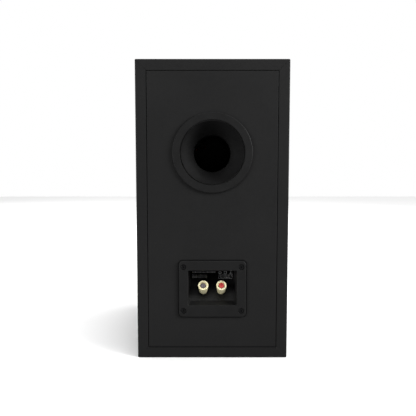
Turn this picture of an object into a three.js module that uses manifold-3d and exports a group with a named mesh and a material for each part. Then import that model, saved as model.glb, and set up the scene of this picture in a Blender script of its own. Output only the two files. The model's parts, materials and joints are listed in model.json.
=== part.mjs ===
// A two-way bass-reflex bookshelf loudspeaker, built as it comes apart on a bench.
// The frame: +Z up, the front baffle faces -Y, the rear panel with port and terminals faces +Y.
// The origin is the centre of the footprint, on the underside of the cabinet. Units are millimetres.

import * as THREE from 'three';
import { mergeVertices } from 'three/addons/utils/BufferGeometryUtils.js';
import { ConvexGeometry } from 'three/addons/geometries/ConvexGeometry.js';
import Module from 'manifold-3d';

const wasm = await Module();
wasm.setup();

// ---------------------------------------------------------------- driving dimensions

const seatGap = 0.3; // left between pieces that rest on, or are glued to, each other

// Cabinet: four mitred boards around an inset rear panel, behind a full-size front baffle.
const cabinetWidth = 155;
const cabinetHeight = 305;
const cabinetDepth = 200;
const wallThickness = 11;
const baffleThickness = 15;
const rearPanelThickness = 11;

// Reflex port: a moulded flare in the rear panel with a plain tube pushed over its spigot.
const portFromTop = 92.7;
const portFlangeRadius = 40.7;
const portFlangeProud = 2.5;
const portFlangeBevel = 1.6;
const portMouthRadius = 32;
const portThroatRadius = 19.6;
const portFlareDepth = 24;
const portFlareBend = THREE.MathUtils.degToRad(-8);
const portWall = 2.2;
const portSpigotLength = 15;
const portTubeWall = 1.8;
const portLength = 118;

// Terminal cup: a flanged box let into the rear panel, with a sloping plate that carries the posts.
const cupFromBottom = 74.1;
const cupFlangeWidth = 69.2;
const cupFlangeHeight = 58.8;
const cupFlangeDrop = 1.1;
const cupFlangeCorner = 4;
const cupFlangeProud = 2.3;
const cupOpeningWidth = 50;
const cupOpeningHeight = 36;
const cupDraft = 1.4;
const cupWall = 2;
const cupSillDepth = 9;
const cupScrewSpacingX = 59.4;
const cupScrewSpacingZ = 45.6;
const plateTilt = THREE.MathUtils.degToRad(38);

// Binding posts, measured along their own axis from the face of the sloping plate.
const postSpacing = 19;
const postFromSill = 11.5;
const studRadius = 3;
const studShoulderRadius = 4.1;
const studShoulderHeight = 0.9;
const studHeight = 12.6;
const studTail = 9.5;
const bananaBoreRadius = 2.05;
const bananaBoreDepth = 15.3;
const wireHoleRadius = 1.3;
const wireHoleHeight = 3.4;
const clampWasherRadius = 4.1;
const clampWasherThickness = 0.8;
const knobRadius = 5.45;
const knobFootRadius = 4.5;
const knobLength = 12.1;
const knobSocketAcrossCorners = 7.8;
const knobSocketDepth = 1.8;
const capHeadRadius = 2.8;
const capHeadHeight = 1.3;
const capPinLength = 7;
const lugThickness = 0.6;
const lugRadius = 5;
const lugTabWidth = 4.8;
const lugTabLength = 14;
const nutThickness = 2.6;
const nutAcrossFlats = 8;

// Woofer.
const wooferFrameRadius = 64;
const wooferFrameThickness = 3.7;
const wooferRimWidth = 7.8;
const wooferLedgeDepth = 1.5;
const wooferBodyStep = 10.8;
const basketWall = 1.6;
const basketNeckDepth = 14;
const basketShelfDepth = 26;
const basketShelfRadius = 30;
const basketShelfWidth = 7.3;
const basketBaseDepth = 33.4;
const basketWindowWidth = 27;
const basketWindowCount = 6;
const surroundRollWidth = 10.5;
const surroundLipWidth = 4.2;
const surroundThickness = 0.6;
const coneDepth = 18.5;
const coneThickness = 0.9;
const dustCapRadius = 19.6;
const dustCapRise = 5.6;
const dustCapThickness = 0.6;
const coilInnerRadius = 12.75;
const formerThickness = 0.4;
const windingThickness = 0.55;
const windingHeight = 11;
const magneticGap = 0.6;
const topPlateThickness = 4;
const wooferPlateRadius = 34;
const wooferMagnetRadius = 37.5;
const wooferMagnetThickness = 13.4;
const wooferYokeThickness = 5;
const poleVentRadius = 4;
const spiderWaves = 3;
const spiderWaveHeight = 1.1;
const spiderThickness = 0.6;

// Tweeter.
const tweeterPlateRadius = 48;
const tweeterPlateThickness = 3.7;
const tweeterPlateStep = 11;
const waveguideMouthRadius = 39;
const waveguideThroatRadius = 15.7;
const waveguideDepth = 13.6;
const waveguideBack = 2.2;
const domeRadius = 12.7;
const domeRise = 6;
const domeThickness = 0.35;
const domeRollWidth = 2.2;
const domeLipWidth = 3.4;
const domeTravelGap = 0.42;
const tweeterTopPlateThickness = 3;
const tweeterMotorRadius = 31;
const tweeterMagnetThickness = 9;
const tweeterYokeThickness = 4;
const tweeterWindingHeight = 2.6;

// Screws that hold the drivers and the cup.
const driverScrew = { headRadius: 2.9, headHeight: 1.3, shankRadius: 1.5, length: 11.5 };
const cupScrew = { headRadius: 2.5, headHeight: 1.1, shankRadius: 1.3, length: 9 };
const counterboreSlack = 0.4;

// Crossover on the floor of the cabinet, and the leads.
const boardWidth = 104;
const boardLength = 74;
const boardThickness = 2;
const leadRadius = 1.1;
const wadThickness = 12;

// How round a shape is drawn.
const largeSegments = 28;
const mediumSegments = 20;
const smallSegments = 14;
const screwSegments = 8;

// ---------------------------------------------------------------- derived places

const wooferRadiusInBaffle = wooferFrameRadius + seatGap;
const tweeterRadiusInBaffle = tweeterPlateRadius + seatGap;
// The two drivers share out the height of the baffle with equal margins.
const driverMargin = (cabinetHeight - 2 * wooferRadiusInBaffle - 2 * tweeterRadiusInBaffle) / 3;
const wooferHeight = driverMargin + wooferRadiusInBaffle;
const tweeterHeight = cabinetHeight - driverMargin - tweeterRadiusInBaffle;
const portHeight = cabinetHeight - portFromTop;

const surroundTop = -wooferLedgeDepth + seatGap + surroundThickness;
const frontProud = surroundTop + surroundRollWidth / 2;
const rearProud = Math.max(portFlangeProud, cupFlangeProud);
const totalDepth = frontProud + cabinetDepth + rearProud;
const frontY = -totalDepth / 2 + frontProud;
const rearY = totalDepth / 2 - rearProud;
const baffleBackY = frontY + baffleThickness;
const rearPanelFrontY = rearY - rearPanelThickness;
const innerHalfWidth = cabinetWidth / 2 - wallThickness;
const floorTop = wallThickness;

// ---------------------------------------------------------------- materials

function finish(color, roughness, metalness = 0) {
  return new THREE.MeshStandardMaterial({ color, roughness, metalness });
}

const blackVinyl = finish(0x1b1b1c, 0.62);
const blackPaint = finish(0x161617, 0.5);
const blackPlastic = finish(0x191919, 0.55);
const blackSteel = finish(0x141414, 0.4, 0.8);
const goldPlate = finish(0xd8bf78, 0.28, 1);
const redPlastic = finish(0xc4302b, 0.4);
const greyPlastic = finish(0x3a3640, 0.4);
const zincSteel = finish(0xa9adb0, 0.4, 1);
const ferrite = finish(0x2a2b2d, 0.7, 0.2);
const rubber = finish(0x121212, 0.75);
const conePaper = finish(0x202124, 0.6);
const spiderCloth = finish(0xb58a3c, 0.9);
const copperWire = finish(0xb06a3b, 0.35, 1);
const domeSilk = finish(0x1a1a1c, 0.85);
const boardFibre = finish(0x6d4a2a, 0.8);
const capacitorFilm = finish(0xd9b31f, 0.45);
const ceramicWhite = finish(0xd9d6cc, 0.7);
const wadding = finish(0xe6e4dd, 0.95);
const redSheath = finish(0xb3221f, 0.5);
const blackSheath = finish(0x101010, 0.5);
const cardTube = finish(0x17171a, 0.8);

// ---------------------------------------------------------------- shape helpers

const root = new THREE.Group();

// One shared vertex per corner, and no triangle that closes up on itself.
function weld(geometry) {
  const loose = geometry.index ? geometry.toNonIndexed() : geometry;
  const bare = new THREE.BufferGeometry().setAttribute('position', loose.getAttribute('position'));
  const merged = mergeVertices(bare, 1e-4);
  const corners = merged.index.array;
  const kept = [];
  for (let i = 0; i < corners.length; i += 3) {
    const [a, b, c] = [corners[i], corners[i + 1], corners[i + 2]];
    if (a !== b && b !== c && c !== a) kept.push(a, b, c);
  }
  return merged.setIndex(kept);
}

function toSolid(geometry) {
  const welded = weld(geometry);
  return new wasm.Manifold(new wasm.Mesh({
    numProp: 3,
    vertProperties: new Float32Array(welded.getAttribute('position').array),
    triVerts: new Uint32Array(welded.index.array),
  }));
}

function toGeometry(solid) {
  const { vertProperties, triVerts } = solid.getMesh();
  const geometry = new THREE.BufferGeometry()
    .setAttribute('position', new THREE.BufferAttribute(vertProperties, 3))
    .setIndex(new THREE.BufferAttribute(triVerts, 1));
  geometry.computeVertexNormals();
  return geometry;
}

function cut(body, tools) {
  return toGeometry(tools.reduce((solid, tool) => solid.subtract(toSolid(tool)), toSolid(body)));
}

function join(bodies) {
  return toGeometry(bodies.slice(1).reduce((solid, next) => solid.add(toSolid(next)), toSolid(bodies[0])));
}

function box(x0, x1, y0, y1, z0, z1) {
  return new THREE.BoxGeometry(x1 - x0, y1 - y0, z1 - z0)
    .translate((x0 + x1) / 2, (y0 + y1) / 2, (z0 + z1) / 2);
}

// A turned shape about the local Y axis. The profile is a list of [radius, height]; if it doesn't
// start and end on the axis it closes on itself. Its sense doesn't matter.
function turned(profile, segments) {
  const area = profile.reduce((sum, [r, h], i) => {
    const [nextR, nextH] = profile[(i + 1) % profile.length];
    return sum + r * nextH - nextR * h;
  }, 0);
  const ordered = area < 0 ? [...profile].reverse() : [...profile];
  const onAxis = ordered[0][0] === 0 && ordered.at(-1)[0] === 0;
  if (!onAxis) ordered.push(ordered[0]);
  return weld(new THREE.LatheGeometry(ordered.map(([r, h]) => new THREE.Vector2(r, h)), segments));
}

// A plain cylinder about the local Y axis between two heights.
function rod(radius, from, to, segments) {
  return turned([[0, from], [radius, from], [radius, to], [0, to]], segments);
}

function ring(inner, outer, from, to, segments) {
  return turned([[inner, from], [outer, from], [outer, to], [inner, to]], segments);
}

// A board in the XZ plane from an outline, thickened from y0 to y1.
function plate(shape, y0, y1, curveSegments = 4) {
  return new THREE.ExtrudeGeometry(shape, { depth: y1 - y0, bevelEnabled: false, curveSegments })
    .rotateX(Math.PI / 2)
    .translate(0, y1, 0);
}

function roundedRectangle(width, height, corner) {
  const shape = new THREE.Shape();
  const [w, h] = [width / 2, height / 2];
  shape.absarc(w - corner, h - corner, corner, 0, Math.PI / 2);
  shape.absarc(corner - w, h - corner, corner, Math.PI / 2, Math.PI);
  shape.absarc(corner - w, corner - h, corner, Math.PI, 1.5 * Math.PI);
  shape.absarc(w - corner, corner - h, corner, 1.5 * Math.PI, 2 * Math.PI);
  return shape;
}

// Points of an elliptical arc, as [radius, height] pairs, from one angle to another.
function arc(centreR, centreH, radiusR, radiusH, from, to, steps) {
  return Array.from({ length: steps + 1 }, (_, i) => {
    const angle = from + ((to - from) * i) / steps;
    return [centreR + radiusR * Math.cos(angle), centreH + radiusH * Math.sin(angle)];
  });
}

function addPiece(parent, name, geometry, material) {
  const mesh = new THREE.Mesh(geometry, material);
  mesh.name = name;
  parent.add(mesh);
  return mesh;
}

// A group whose local +Y points out of the front baffle.
function frontFacing(height) {
  const group = new THREE.Group();
  group.position.set(0, frontY, height);
  group.rotation.x = Math.PI;
  root.add(group);
  return group;
}

function rearFacing(height) {
  const group = new THREE.Group();
  group.position.set(0, rearY, height);
  root.add(group);
  return group;
}

// Places on a circle about the local Y axis, the first at startAngle from +X towards +Z.
function onCircle(count, radius, startAngle) {
  return Array.from({ length: count }, (_, i) => {
    const angle = startAngle + (2 * Math.PI * i) / count;
    return [radius * Math.cos(angle), radius * Math.sin(angle)];
  });
}

function pilotHole(screw, x, z, depth) {
  return rod(screw.shankRadius + seatGap, -depth, 1, screwSegments).translate(x, 0, z);
}

function counterbore(screw, face, x, z) {
  const floor = face - screw.headHeight - 2 * seatGap;
  return turned([
    [0, face - screw.length], [screw.shankRadius + seatGap, face - screw.length],
    [screw.shankRadius + seatGap, floor], [screw.headRadius + counterboreSlack, floor],
    [screw.headRadius + counterboreSlack, face + 1], [0, face + 1],
  ], screwSegments).translate(x, 0, z);
}

// A countersunk-flush screw, its head just below the face that it holds.
function screwGeometry(screw, face) {
  const top = face - seatGap;
  const under = top - screw.headHeight;
  const tip = face - screw.length;
  return turned([
    [0, top], [screw.headRadius, top], [screw.headRadius, under], [screw.shankRadius, under],
    [screw.shankRadius, tip + screw.shankRadius], [0, tip],
  ], screwSegments);
}

// ---------------------------------------------------------------- places shared by several pieces

const wooferScrews = onCircle(4, wooferFrameRadius - wooferRimWidth / 2, Math.PI / 4);
const tweeterScrews = onCircle(3, (tweeterPlateRadius + waveguideMouthRadius) / 2, Math.PI / 2);
const cupScrews = [1, -1].flatMap((z) => [-1, 1].map((x) => [
  (x * cupScrewSpacingX) / 2, (z * cupScrewSpacingZ) / 2 - cupFlangeDrop,
]));
const wooferCutRadius = wooferFrameRadius - wooferBodyStep + 2 * seatGap;
const tweeterCutRadius = tweeterPlateRadius - tweeterPlateStep + 2 * seatGap;
const portBodyRadius = portMouthRadius + portWall;

// The sloping plate, in the cup's own frame: its lower edge, and a frame whose +Y is the posts' axis.
const plateFoot = new THREE.Vector3(0, -cupSillDepth, -(cupOpeningHeight / 2 - cupDraft));
const plateFrame = new THREE.Matrix4()
  .makeRotationX(plateTilt)
  .setPosition(plateFoot);

function onPlate(geometry, x = 0, up = postFromSill) {
  return geometry.translate(x, 0, up).applyMatrix4(plateFrame);
}

// ---------------------------------------------------------------- cabinet

// A board with its two long ends mitred at 45 degrees, from its outer length and its thickness.
function mitredBoard(outerLength) {
  const half = outerLength / 2;
  const shape = new THREE.Shape([
    new THREE.Vector2(-half, 0), new THREE.Vector2(half, 0),
    new THREE.Vector2(half - wallThickness, wallThickness),
    new THREE.Vector2(-half + wallThickness, wallThickness),
  ]);
  return plate(shape, baffleBackY, rearY);
}

function rearPanelGeometry() {
  const halfWidth = innerHalfWidth - seatGap;
  const board = box(-halfWidth, halfWidth, rearPanelFrontY, rearY,
    floorTop + seatGap, cabinetHeight - wallThickness - seatGap);
  const cupHalfWidth = cupOpeningWidth / 2 + cupWall + seatGap;
  const cupHalfHeight = cupOpeningHeight / 2 + cupWall + seatGap;
  const port = rod(portBodyRadius + seatGap, -rearPanelThickness - 1, 1, largeSegments);
  const cup = box(-cupHalfWidth, cupHalfWidth, -rearPanelThickness - 1, 1, -cupHalfHeight, cupHalfHeight);
  const pilots = cupScrews.map(([x, z]) => pilotHole(cupScrew, x, z, cupScrew.length));
  return cut(board, [
    port.translate(0, rearY, portHeight),
    ...[cup, ...pilots].map((tool) => tool.translate(0, rearY, cupFromBottom)),
  ]);
}

// A hole for a driver: the cut-out, the rebate its flange sits in, and pilot holes for its screws.
function driverHole(cutRadius, rebateRadius, rebateDepth, screws) {
  const hole = turned([
    [0, -baffleThickness - 1], [cutRadius, -baffleThickness - 1], [cutRadius, -rebateDepth],
    [rebateRadius, -rebateDepth], [rebateRadius, 1], [0, 1],
  ], largeSegments);
  return [hole, ...screws.map(([x, z]) => pilotHole(driverScrew, x, z, driverScrew.length + seatGap))];
}

function baffleGeometry() {
  const board = box(-cabinetWidth / 2, cabinetWidth / 2, frontY, baffleBackY, 0, cabinetHeight);
  const place = (height) => (tool) => tool.rotateX(Math.PI).translate(0, frontY, height);
  const woofer = driverHole(wooferCutRadius, wooferRadiusInBaffle,
    wooferFrameThickness + seatGap, wooferScrews);
  const tweeter = driverHole(tweeterCutRadius, tweeterRadiusInBaffle,
    tweeterPlateThickness + seatGap, tweeterScrews);
  return cut(board, [...woofer.map(place(wooferHeight)), ...tweeter.map(place(tweeterHeight))]);
}

function buildCabinet() {
  const cabinet = new THREE.Group();
  addPiece(cabinet, 'bottom_panel', mitredBoard(cabinetWidth), blackVinyl);
  const top = addPiece(cabinet, 'top_panel', mitredBoard(cabinetWidth), blackVinyl);
  top.position.set(0, 0, cabinetHeight);
  top.rotation.y = Math.PI;
  for (const [side, name] of [[1, 'right_side_panel'], [-1, 'left_side_panel']]) {
    const upright = mitredBoard(cabinetHeight).rotateY((-side * Math.PI) / 2);
    const board = addPiece(cabinet, name, upright, blackVinyl);
    board.position.set((side * cabinetWidth) / 2, 0, cabinetHeight / 2);
  }
  addPiece(cabinet, 'rear_panel', rearPanelGeometry(), blackVinyl);
  addPiece(cabinet, 'front_baffle', baffleGeometry(), blackPaint);
  root.add(cabinet);
}

// ---------------------------------------------------------------- reflex port

// The flare widens from the throat to the mouth on one shallow arc, bowl-like for a bend below zero.
function flareArc() {
  const rise = portMouthRadius - portThroatRadius;
  const slope = Math.atan2(rise, portFlareDepth);
  const radius = Math.hypot(rise, portFlareDepth) / 2 / Math.sin(portFlareBend);
  const start = slope - portFlareBend;
  const steps = 6;
  return Array.from({ length: steps + 1 }, (_, i) => {
    const angle = start + (2 * portFlareBend * i) / steps;
    return [
      portThroatRadius + radius * (Math.cos(start) - Math.cos(angle)),
      -portFlareDepth + radius * (Math.sin(angle) - Math.sin(start)),
    ];
  });
}

function buildPort() {
  const port = rearFacing(portHeight);
  const spigotRadius = portThroatRadius + portWall;
  const spigotEnd = -portFlareDepth - portSpigotLength;
  const stretch = 1 + portFlangeProud / portFlareDepth;
  const inner = flareArc().map(([r, h]) => [r, (h + portFlareDepth) * stretch - portFlareDepth]);
  const outer = flareArc().map(([r, h]) => [r + portWall, h]).reverse().slice(1);
  const flare = turned([
    [portThroatRadius, spigotEnd], ...inner,
    [portFlangeRadius - portFlangeBevel, portFlangeProud],
    [portFlangeRadius, portFlangeProud - portFlangeBevel],
    [portFlangeRadius, seatGap], [portBodyRadius, seatGap], ...outer,
    [spigotRadius, spigotEnd],
  ], largeSegments);
  addPiece(port, 'port_flare', flare, blackPlastic);

  const tubeInner = spigotRadius + seatGap;
  const tubeMouth = -portFlareDepth - seatGap;
  const tube = ring(tubeInner, tubeInner + portTubeWall, -portLength, tubeMouth, largeSegments);
  addPiece(port, 'port_tube', tube, cardTube);
}

// ---------------------------------------------------------------- terminal cup and binding posts

// The cup's wedge-shaped body, grown by offset from its inner faces; offset 0 gives the recess itself.
function cupWedge(offset, frontY0) {
  const [halfWidth, halfHeight] = [cupOpeningWidth / 2 + offset, cupOpeningHeight / 2 + offset];
  const backWidth = halfWidth - cupDraft;
  const backHeight = halfHeight - cupDraft;
  const [cosine, sine] = [Math.cos(plateTilt), Math.sin(plateTilt)];
  const reach = plateFoot.y * cosine + plateFoot.z * sine - offset;
  const points = [];
  for (const x of [-1, 1]) {
    for (const z of [-1, 1]) {
      points.push(new THREE.Vector3(x * halfWidth, frontY0, z * halfHeight));
      points.push(new THREE.Vector3(x * halfWidth, 0, z * halfHeight));
      points.push(new THREE.Vector3(x * backWidth, (reach - z * backHeight * sine) / cosine, z * backHeight));
    }
  }
  return new ConvexGeometry(points);
}

function terminalCupGeometry() {
  const flange = plate(roundedRectangle(cupFlangeWidth, cupFlangeHeight, cupFlangeCorner),
    seatGap, cupFlangeProud).translate(0, 0, -cupFlangeDrop);
  const postHoles = [-1, 1].map((side) => onPlate(
    rod(studRadius + seatGap, -cupWall - 1, 1, smallSegments), (side * postSpacing) / 2));
  return cut(join([flange, cupWedge(cupWall, cupFlangeProud - seatGap)]), [
    cupWedge(0, cupFlangeProud + 1),
    ...cupScrews.map(([x, z]) => counterbore(cupScrew, cupFlangeProud, x, z)),
    ...postHoles,
  ]);
}

function studGeometry() {
  const boreFloor = studHeight - bananaBoreDepth;
  const stud = turned([
    [0, -studTail], [studRadius, -studTail], [studRadius, seatGap], [studShoulderRadius, seatGap],
    [studShoulderRadius, seatGap + studShoulderHeight], [studRadius, seatGap + studShoulderHeight],
    [studRadius, studHeight], [bananaBoreRadius, studHeight], [bananaBoreRadius, boreFloor], [0, boreFloor],
  ], smallSegments);
  const wireHole = rod(wireHoleRadius, -studRadius - 1, studRadius + 1, screwSegments)
    .rotateZ(Math.PI / 2)
    .translate(0, wireHoleHeight, 0);
  return cut(stud, [wireHole]);
}

const washerFoot = 2 * seatGap + studShoulderHeight;
const knobFoot = washerFoot + clampWasherThickness + seatGap;
const boreRadius = studRadius + seatGap;

// The knob narrows towards its foot, and a hexagonal socket in its end takes a key.
function knobGeometry() {
  const edge = 0.5;
  const top = knobFoot + knobLength;
  const body = turned([
    [boreRadius, knobFoot], [knobFootRadius - edge, knobFoot], [knobFootRadius, knobFoot + edge],
    [knobRadius, top - 2 * edge], [knobRadius, top - edge], [knobRadius - edge, top], [boreRadius, top],
  ], mediumSegments);
  return cut(body, [rod(knobSocketAcrossCorners / 2, top - knobSocketDepth, top + 1, 6)]);
}

function capGeometry() {
  const foot = studHeight + seatGap;
  const pinRadius = bananaBoreRadius - seatGap;
  return turned([
    [0, foot - capPinLength], [pinRadius, foot - capPinLength], [pinRadius, foot],
    [capHeadRadius, foot], [capHeadRadius, foot + capHeadHeight], [0, foot + capHeadHeight],
  ], smallSegments);
}

// A ring terminal behind the plate, with a tab that its lead is soldered to.
function lugGeometry() {
  const back = -cupWall - seatGap;
  const front = back - lugThickness;
  const tab = box(-lugTabWidth / 2, lugTabWidth / 2, front, back, 0, lugTabLength);
  return cut(join([rod(lugRadius, front, back, smallSegments), tab]),
    [rod(boreRadius, front - 1, back + 1, smallSegments)]);
}

function nutGeometry() {
  const back = -cupWall - 2 * seatGap - lugThickness;
  const hexagon = nutAcrossFlats / 2 / Math.cos(Math.PI / 6);
  return cut(rod(hexagon, back - nutThickness, back, 6),
    [rod(boreRadius, back - nutThickness - 1, back + 1, smallSegments)]);
}

function buildTerminals() {
  const terminal = rearFacing(cupFromBottom);
  addPiece(terminal, 'terminal_cup', terminalCupGeometry(), blackPlastic);
  cupScrews.forEach(([x, z], i) => {
    const screw = screwGeometry(cupScrew, cupFlangeProud).translate(x, 0, z);
    addPiece(terminal, `terminal_screw_${i + 1}`, screw, blackSteel);
  });
  // Seen from behind, the negative post is on the left, which is +X.
  for (const [side, pole, capFinish] of [[1, 'negative', greyPlastic], [-1, 'positive', redPlastic]]) {
    const x = (side * postSpacing) / 2;
    addPiece(terminal, `${pole}_stud`, onPlate(studGeometry(), x), goldPlate);
    const washer = ring(boreRadius, clampWasherRadius, washerFoot, washerFoot + clampWasherThickness,
      smallSegments);
    addPiece(terminal, `${pole}_clamp_washer`, onPlate(washer, x), goldPlate);
    addPiece(terminal, `${pole}_knob`, onPlate(knobGeometry(), x), goldPlate);
    addPiece(terminal, `${pole}_banana_cap`, onPlate(capGeometry(), x), capFinish);
    addPiece(terminal, `${pole}_solder_lug`, onPlate(lugGeometry(), x), zincSteel);
    addPiece(terminal, `${pole}_stud_nut`, onPlate(nutGeometry(), x), zincSteel);
  }
}

// ---------------------------------------------------------------- woofer

const ledgeRadius = wooferFrameRadius - wooferRimWidth;
const basketRadius = wooferFrameRadius - wooferBodyStep;
const rollOuter = basketRadius - basketWall + 0.6;
const rollInner = rollOuter - surroundRollWidth;
const coneRimTop = -wooferLedgeDepth;
const coneRimInner = rollInner - surroundLipWidth;
const neckRadius = coilInnerRadius + formerThickness + seatGap;
const neckTop = coneRimTop - coneDepth;
const basketBack = -basketBaseDepth - basketWall;
const topPlateTop = basketBack - seatGap;
const magnetTop = topPlateTop - topPlateThickness - seatGap;
const yokeTop = magnetTop - wooferMagnetThickness - seatGap;
const gapInner = coilInnerRadius - magneticGap;
const gapOuter = coilInnerRadius + formerThickness + windingThickness + magneticGap;

// Height of the cone's front face at a radius.
function coneFace(radius) {
  return neckTop + ((radius - neckRadius) / (coneRimInner - neckRadius)) * coneDepth;
}

function basketGeometry() {
  const shelfOuter = basketShelfRadius + basketShelfWidth;
  const shelfUnder = -basketShelfDepth - basketWall;
  const outline = turned([
    [wooferFrameRadius, 0], [wooferFrameRadius, -wooferFrameThickness],
    [basketRadius, -wooferFrameThickness], [basketRadius, -basketNeckDepth],
    [shelfOuter + basketWall, shelfUnder], [basketShelfRadius + basketWall, shelfUnder],
    [basketShelfRadius + basketWall, basketBack], [neckRadius + 2, basketBack],
    [neckRadius + 2, -basketBaseDepth], [basketShelfRadius, -basketBaseDepth],
    [basketShelfRadius, -basketShelfDepth], [shelfOuter, -basketShelfDepth],
    [basketRadius - basketWall, -basketNeckDepth + basketWall / 2],
    [basketRadius - basketWall, -wooferLedgeDepth], [ledgeRadius, -wooferLedgeDepth], [ledgeRadius, 0],
  ], largeSegments);
  const windowTop = -wooferFrameThickness - 3;
  const half = basketWindowWidth / 2;
  const windows = onCircle(basketWindowCount, 1, 0).map(([x, z]) => (
    box(-half, half, 1 - basketShelfDepth, windowTop, shelfOuter, wooferFrameRadius)
      .rotateY(Math.atan2(x, z))
  ));
  const bores = wooferScrews.map(([x, z]) => counterbore(driverScrew, 0, x, z));
  return cut(outline, [...windows, ...bores]);
}

function surroundGeometry() {
  const middle = (rollOuter + rollInner) / 2;
  const half = surroundRollWidth / 2;
  const bottom = surroundTop - surroundThickness;
  return turned([
    [ledgeRadius - seatGap, bottom], [ledgeRadius - seatGap, surroundTop],
    ...arc(middle, surroundTop, half, half, 0, Math.PI, 6),
    [coneRimInner, surroundTop], [coneRimInner, bottom],
    ...arc(middle, bottom, half - surroundThickness, half, Math.PI, 0, 6),
  ], largeSegments);
}

function coneGeometry() {
  const rim = rollInner + 0.2;
  return turned([
    [neckRadius, neckTop], [neckRadius, neckTop - 1.4 * coneThickness],
    [coneRimInner, coneRimTop - 1.2 * coneThickness], [rim, coneRimTop - coneThickness],
    [rim, coneRimTop], [coneRimInner, coneRimTop],
  ], largeSegments);
}

function dustCapGeometry() {
  const rim = coneFace(dustCapRadius) + 0.4;
  const dome = (inset, steps) => Array.from({ length: steps + 1 }, (_, i) => {
    const share = i / steps;
    return [dustCapRadius * share, rim + dustCapThickness + dustCapRise * (1 - share * share) - inset];
  });
  return turned([...dome(0, 5), ...dome(dustCapThickness, 5).reverse()], mediumSegments);
}

function voiceCoilGeometry() {
  const middle = topPlateTop - topPlateThickness / 2;
  const low = middle - windingHeight / 2;
  const high = middle + windingHeight / 2;
  const former = coilInnerRadius + formerThickness;
  return turned([
    [coilInnerRadius, low], [former + windingThickness, low], [former + windingThickness, high],
    [former, high], [former, neckTop + 1], [coilInnerRadius, neckTop + 1],
  ], mediumSegments);
}

function spiderGeometry() {
  const rest = -basketShelfDepth + seatGap;
  const outer = basketShelfRadius + basketShelfWidth - 2 * seatGap;
  const wavesFrom = neckRadius + 1.2;
  const steps = spiderWaves * 4;
  const wave = Array.from({ length: steps + 1 }, (_, i) => [
    wavesFrom + ((basketShelfRadius - 0.8 - wavesFrom) * i) / steps,
    rest + spiderWaveHeight * Math.sin((2 * Math.PI * spiderWaves * i) / steps),
  ]);
  const under = [[neckRadius, rest], ...wave, [outer, rest]];
  const over = under.map(([r, h]) => [r, h + spiderThickness]).reverse();
  return turned([...under, ...over], mediumSegments);
}

// The strip of phenolic that carries the woofer's two tabs, on the back of the basket's shelf.
function wooferStripGeometry() {
  const face = -basketShelfDepth - basketWall - seatGap;
  const inner = basketShelfRadius + basketWall + 1;
  const tabs = [-5, 5].map((x) => box(x - 2.4, x + 2.4, face - 8, face - 1, inner + 9, inner + 9.8));
  return join([box(-10, 10, face - 1.6, face, inner, inner + 11), ...tabs]);
}

function buildWoofer() {
  const woofer = frontFacing(wooferHeight);
  addPiece(woofer, 'woofer_basket', basketGeometry(), blackSteel);
  addPiece(woofer, 'woofer_surround', surroundGeometry(), rubber);
  addPiece(woofer, 'woofer_cone', coneGeometry(), conePaper);
  addPiece(woofer, 'woofer_dust_cap', dustCapGeometry(), conePaper);
  addPiece(woofer, 'woofer_voice_coil', voiceCoilGeometry(), copperWire);
  addPiece(woofer, 'woofer_spider', spiderGeometry(), spiderCloth);
  addPiece(woofer, 'woofer_top_plate', ring(gapOuter, wooferPlateRadius,
    topPlateTop - topPlateThickness, topPlateTop, mediumSegments), zincSteel);
  addPiece(woofer, 'woofer_magnet', ring(gapOuter + 2, wooferMagnetRadius,
    magnetTop - wooferMagnetThickness, magnetTop, mediumSegments), ferrite);
  addPiece(woofer, 'woofer_yoke', turned([
    [poleVentRadius, yokeTop - wooferYokeThickness], [wooferPlateRadius, yokeTop - wooferYokeThickness],
    [wooferPlateRadius, yokeTop], [gapInner, yokeTop], [gapInner, topPlateTop + 0.5],
    [poleVentRadius, topPlateTop + 0.5],
  ], mediumSegments), zincSteel);
  addPiece(woofer, 'woofer_terminal_strip', wooferStripGeometry(), boardFibre);
  wooferScrews.forEach(([x, z], i) => {
    addPiece(woofer, `woofer_screw_${i + 1}`, screwGeometry(driverScrew, 0).translate(x, 0, z), blackSteel);
  });
}

// ---------------------------------------------------------------- tweeter

const waveguideFoot = -waveguideDepth - waveguideBack;
const domeLipTop = waveguideFoot - domeTravelGap;
const domeLipBottom = domeLipTop - domeThickness;
const tweeterPlateTop = domeLipBottom - domeTravelGap;
const tweeterMagnetTop = tweeterPlateTop - tweeterTopPlateThickness - seatGap;
const tweeterYokeTop = tweeterMagnetTop - tweeterMagnetThickness - seatGap;
const domeCoilInner = domeRadius - formerThickness;
const domeCoilOuter = domeCoilInner + formerThickness + windingThickness;

function faceplateGeometry() {
  const flare = arc(waveguideMouthRadius, -waveguideDepth, waveguideMouthRadius - waveguideThroatRadius,
    waveguideDepth - 0.5, Math.PI, Math.PI / 2, 7);
  const hub = tweeterPlateRadius - tweeterPlateStep;
  const outline = turned([
    [waveguideThroatRadius, waveguideFoot], ...flare,
    [waveguideMouthRadius + 0.5, 0], [tweeterPlateRadius, 0], [tweeterPlateRadius, -tweeterPlateThickness],
    [hub, -tweeterPlateThickness], [hub - 3, waveguideFoot],
  ], largeSegments);
  return cut(outline, tweeterScrews.map(([x, z]) => counterbore(driverScrew, 0, x, z)));
}

// A soft dome moulded in one piece with its roll and its lip.
function domeGeometry() {
  const steps = 5;
  const dome = (inset) => Array.from({ length: steps + 1 }, (_, i) => {
    const share = i / steps;
    return [domeRadius * share, domeLipTop + domeRise * (1 - share * share) - inset];
  });
  const rollMiddle = domeRadius + domeRollWidth / 2;
  const roll = (inset) => arc(rollMiddle, domeLipTop - inset, domeRollWidth / 2, domeRollWidth / 2,
    Math.PI, 0, 4).slice(1);
  const lip = domeRadius + domeRollWidth + domeLipWidth;
  const upper = [...dome(0), ...roll(0), [lip, domeLipTop]];
  const lower = [...dome(domeThickness), ...roll(domeThickness), [lip, domeLipBottom]];
  return turned([...upper, ...lower.reverse()], mediumSegments);
}

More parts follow.
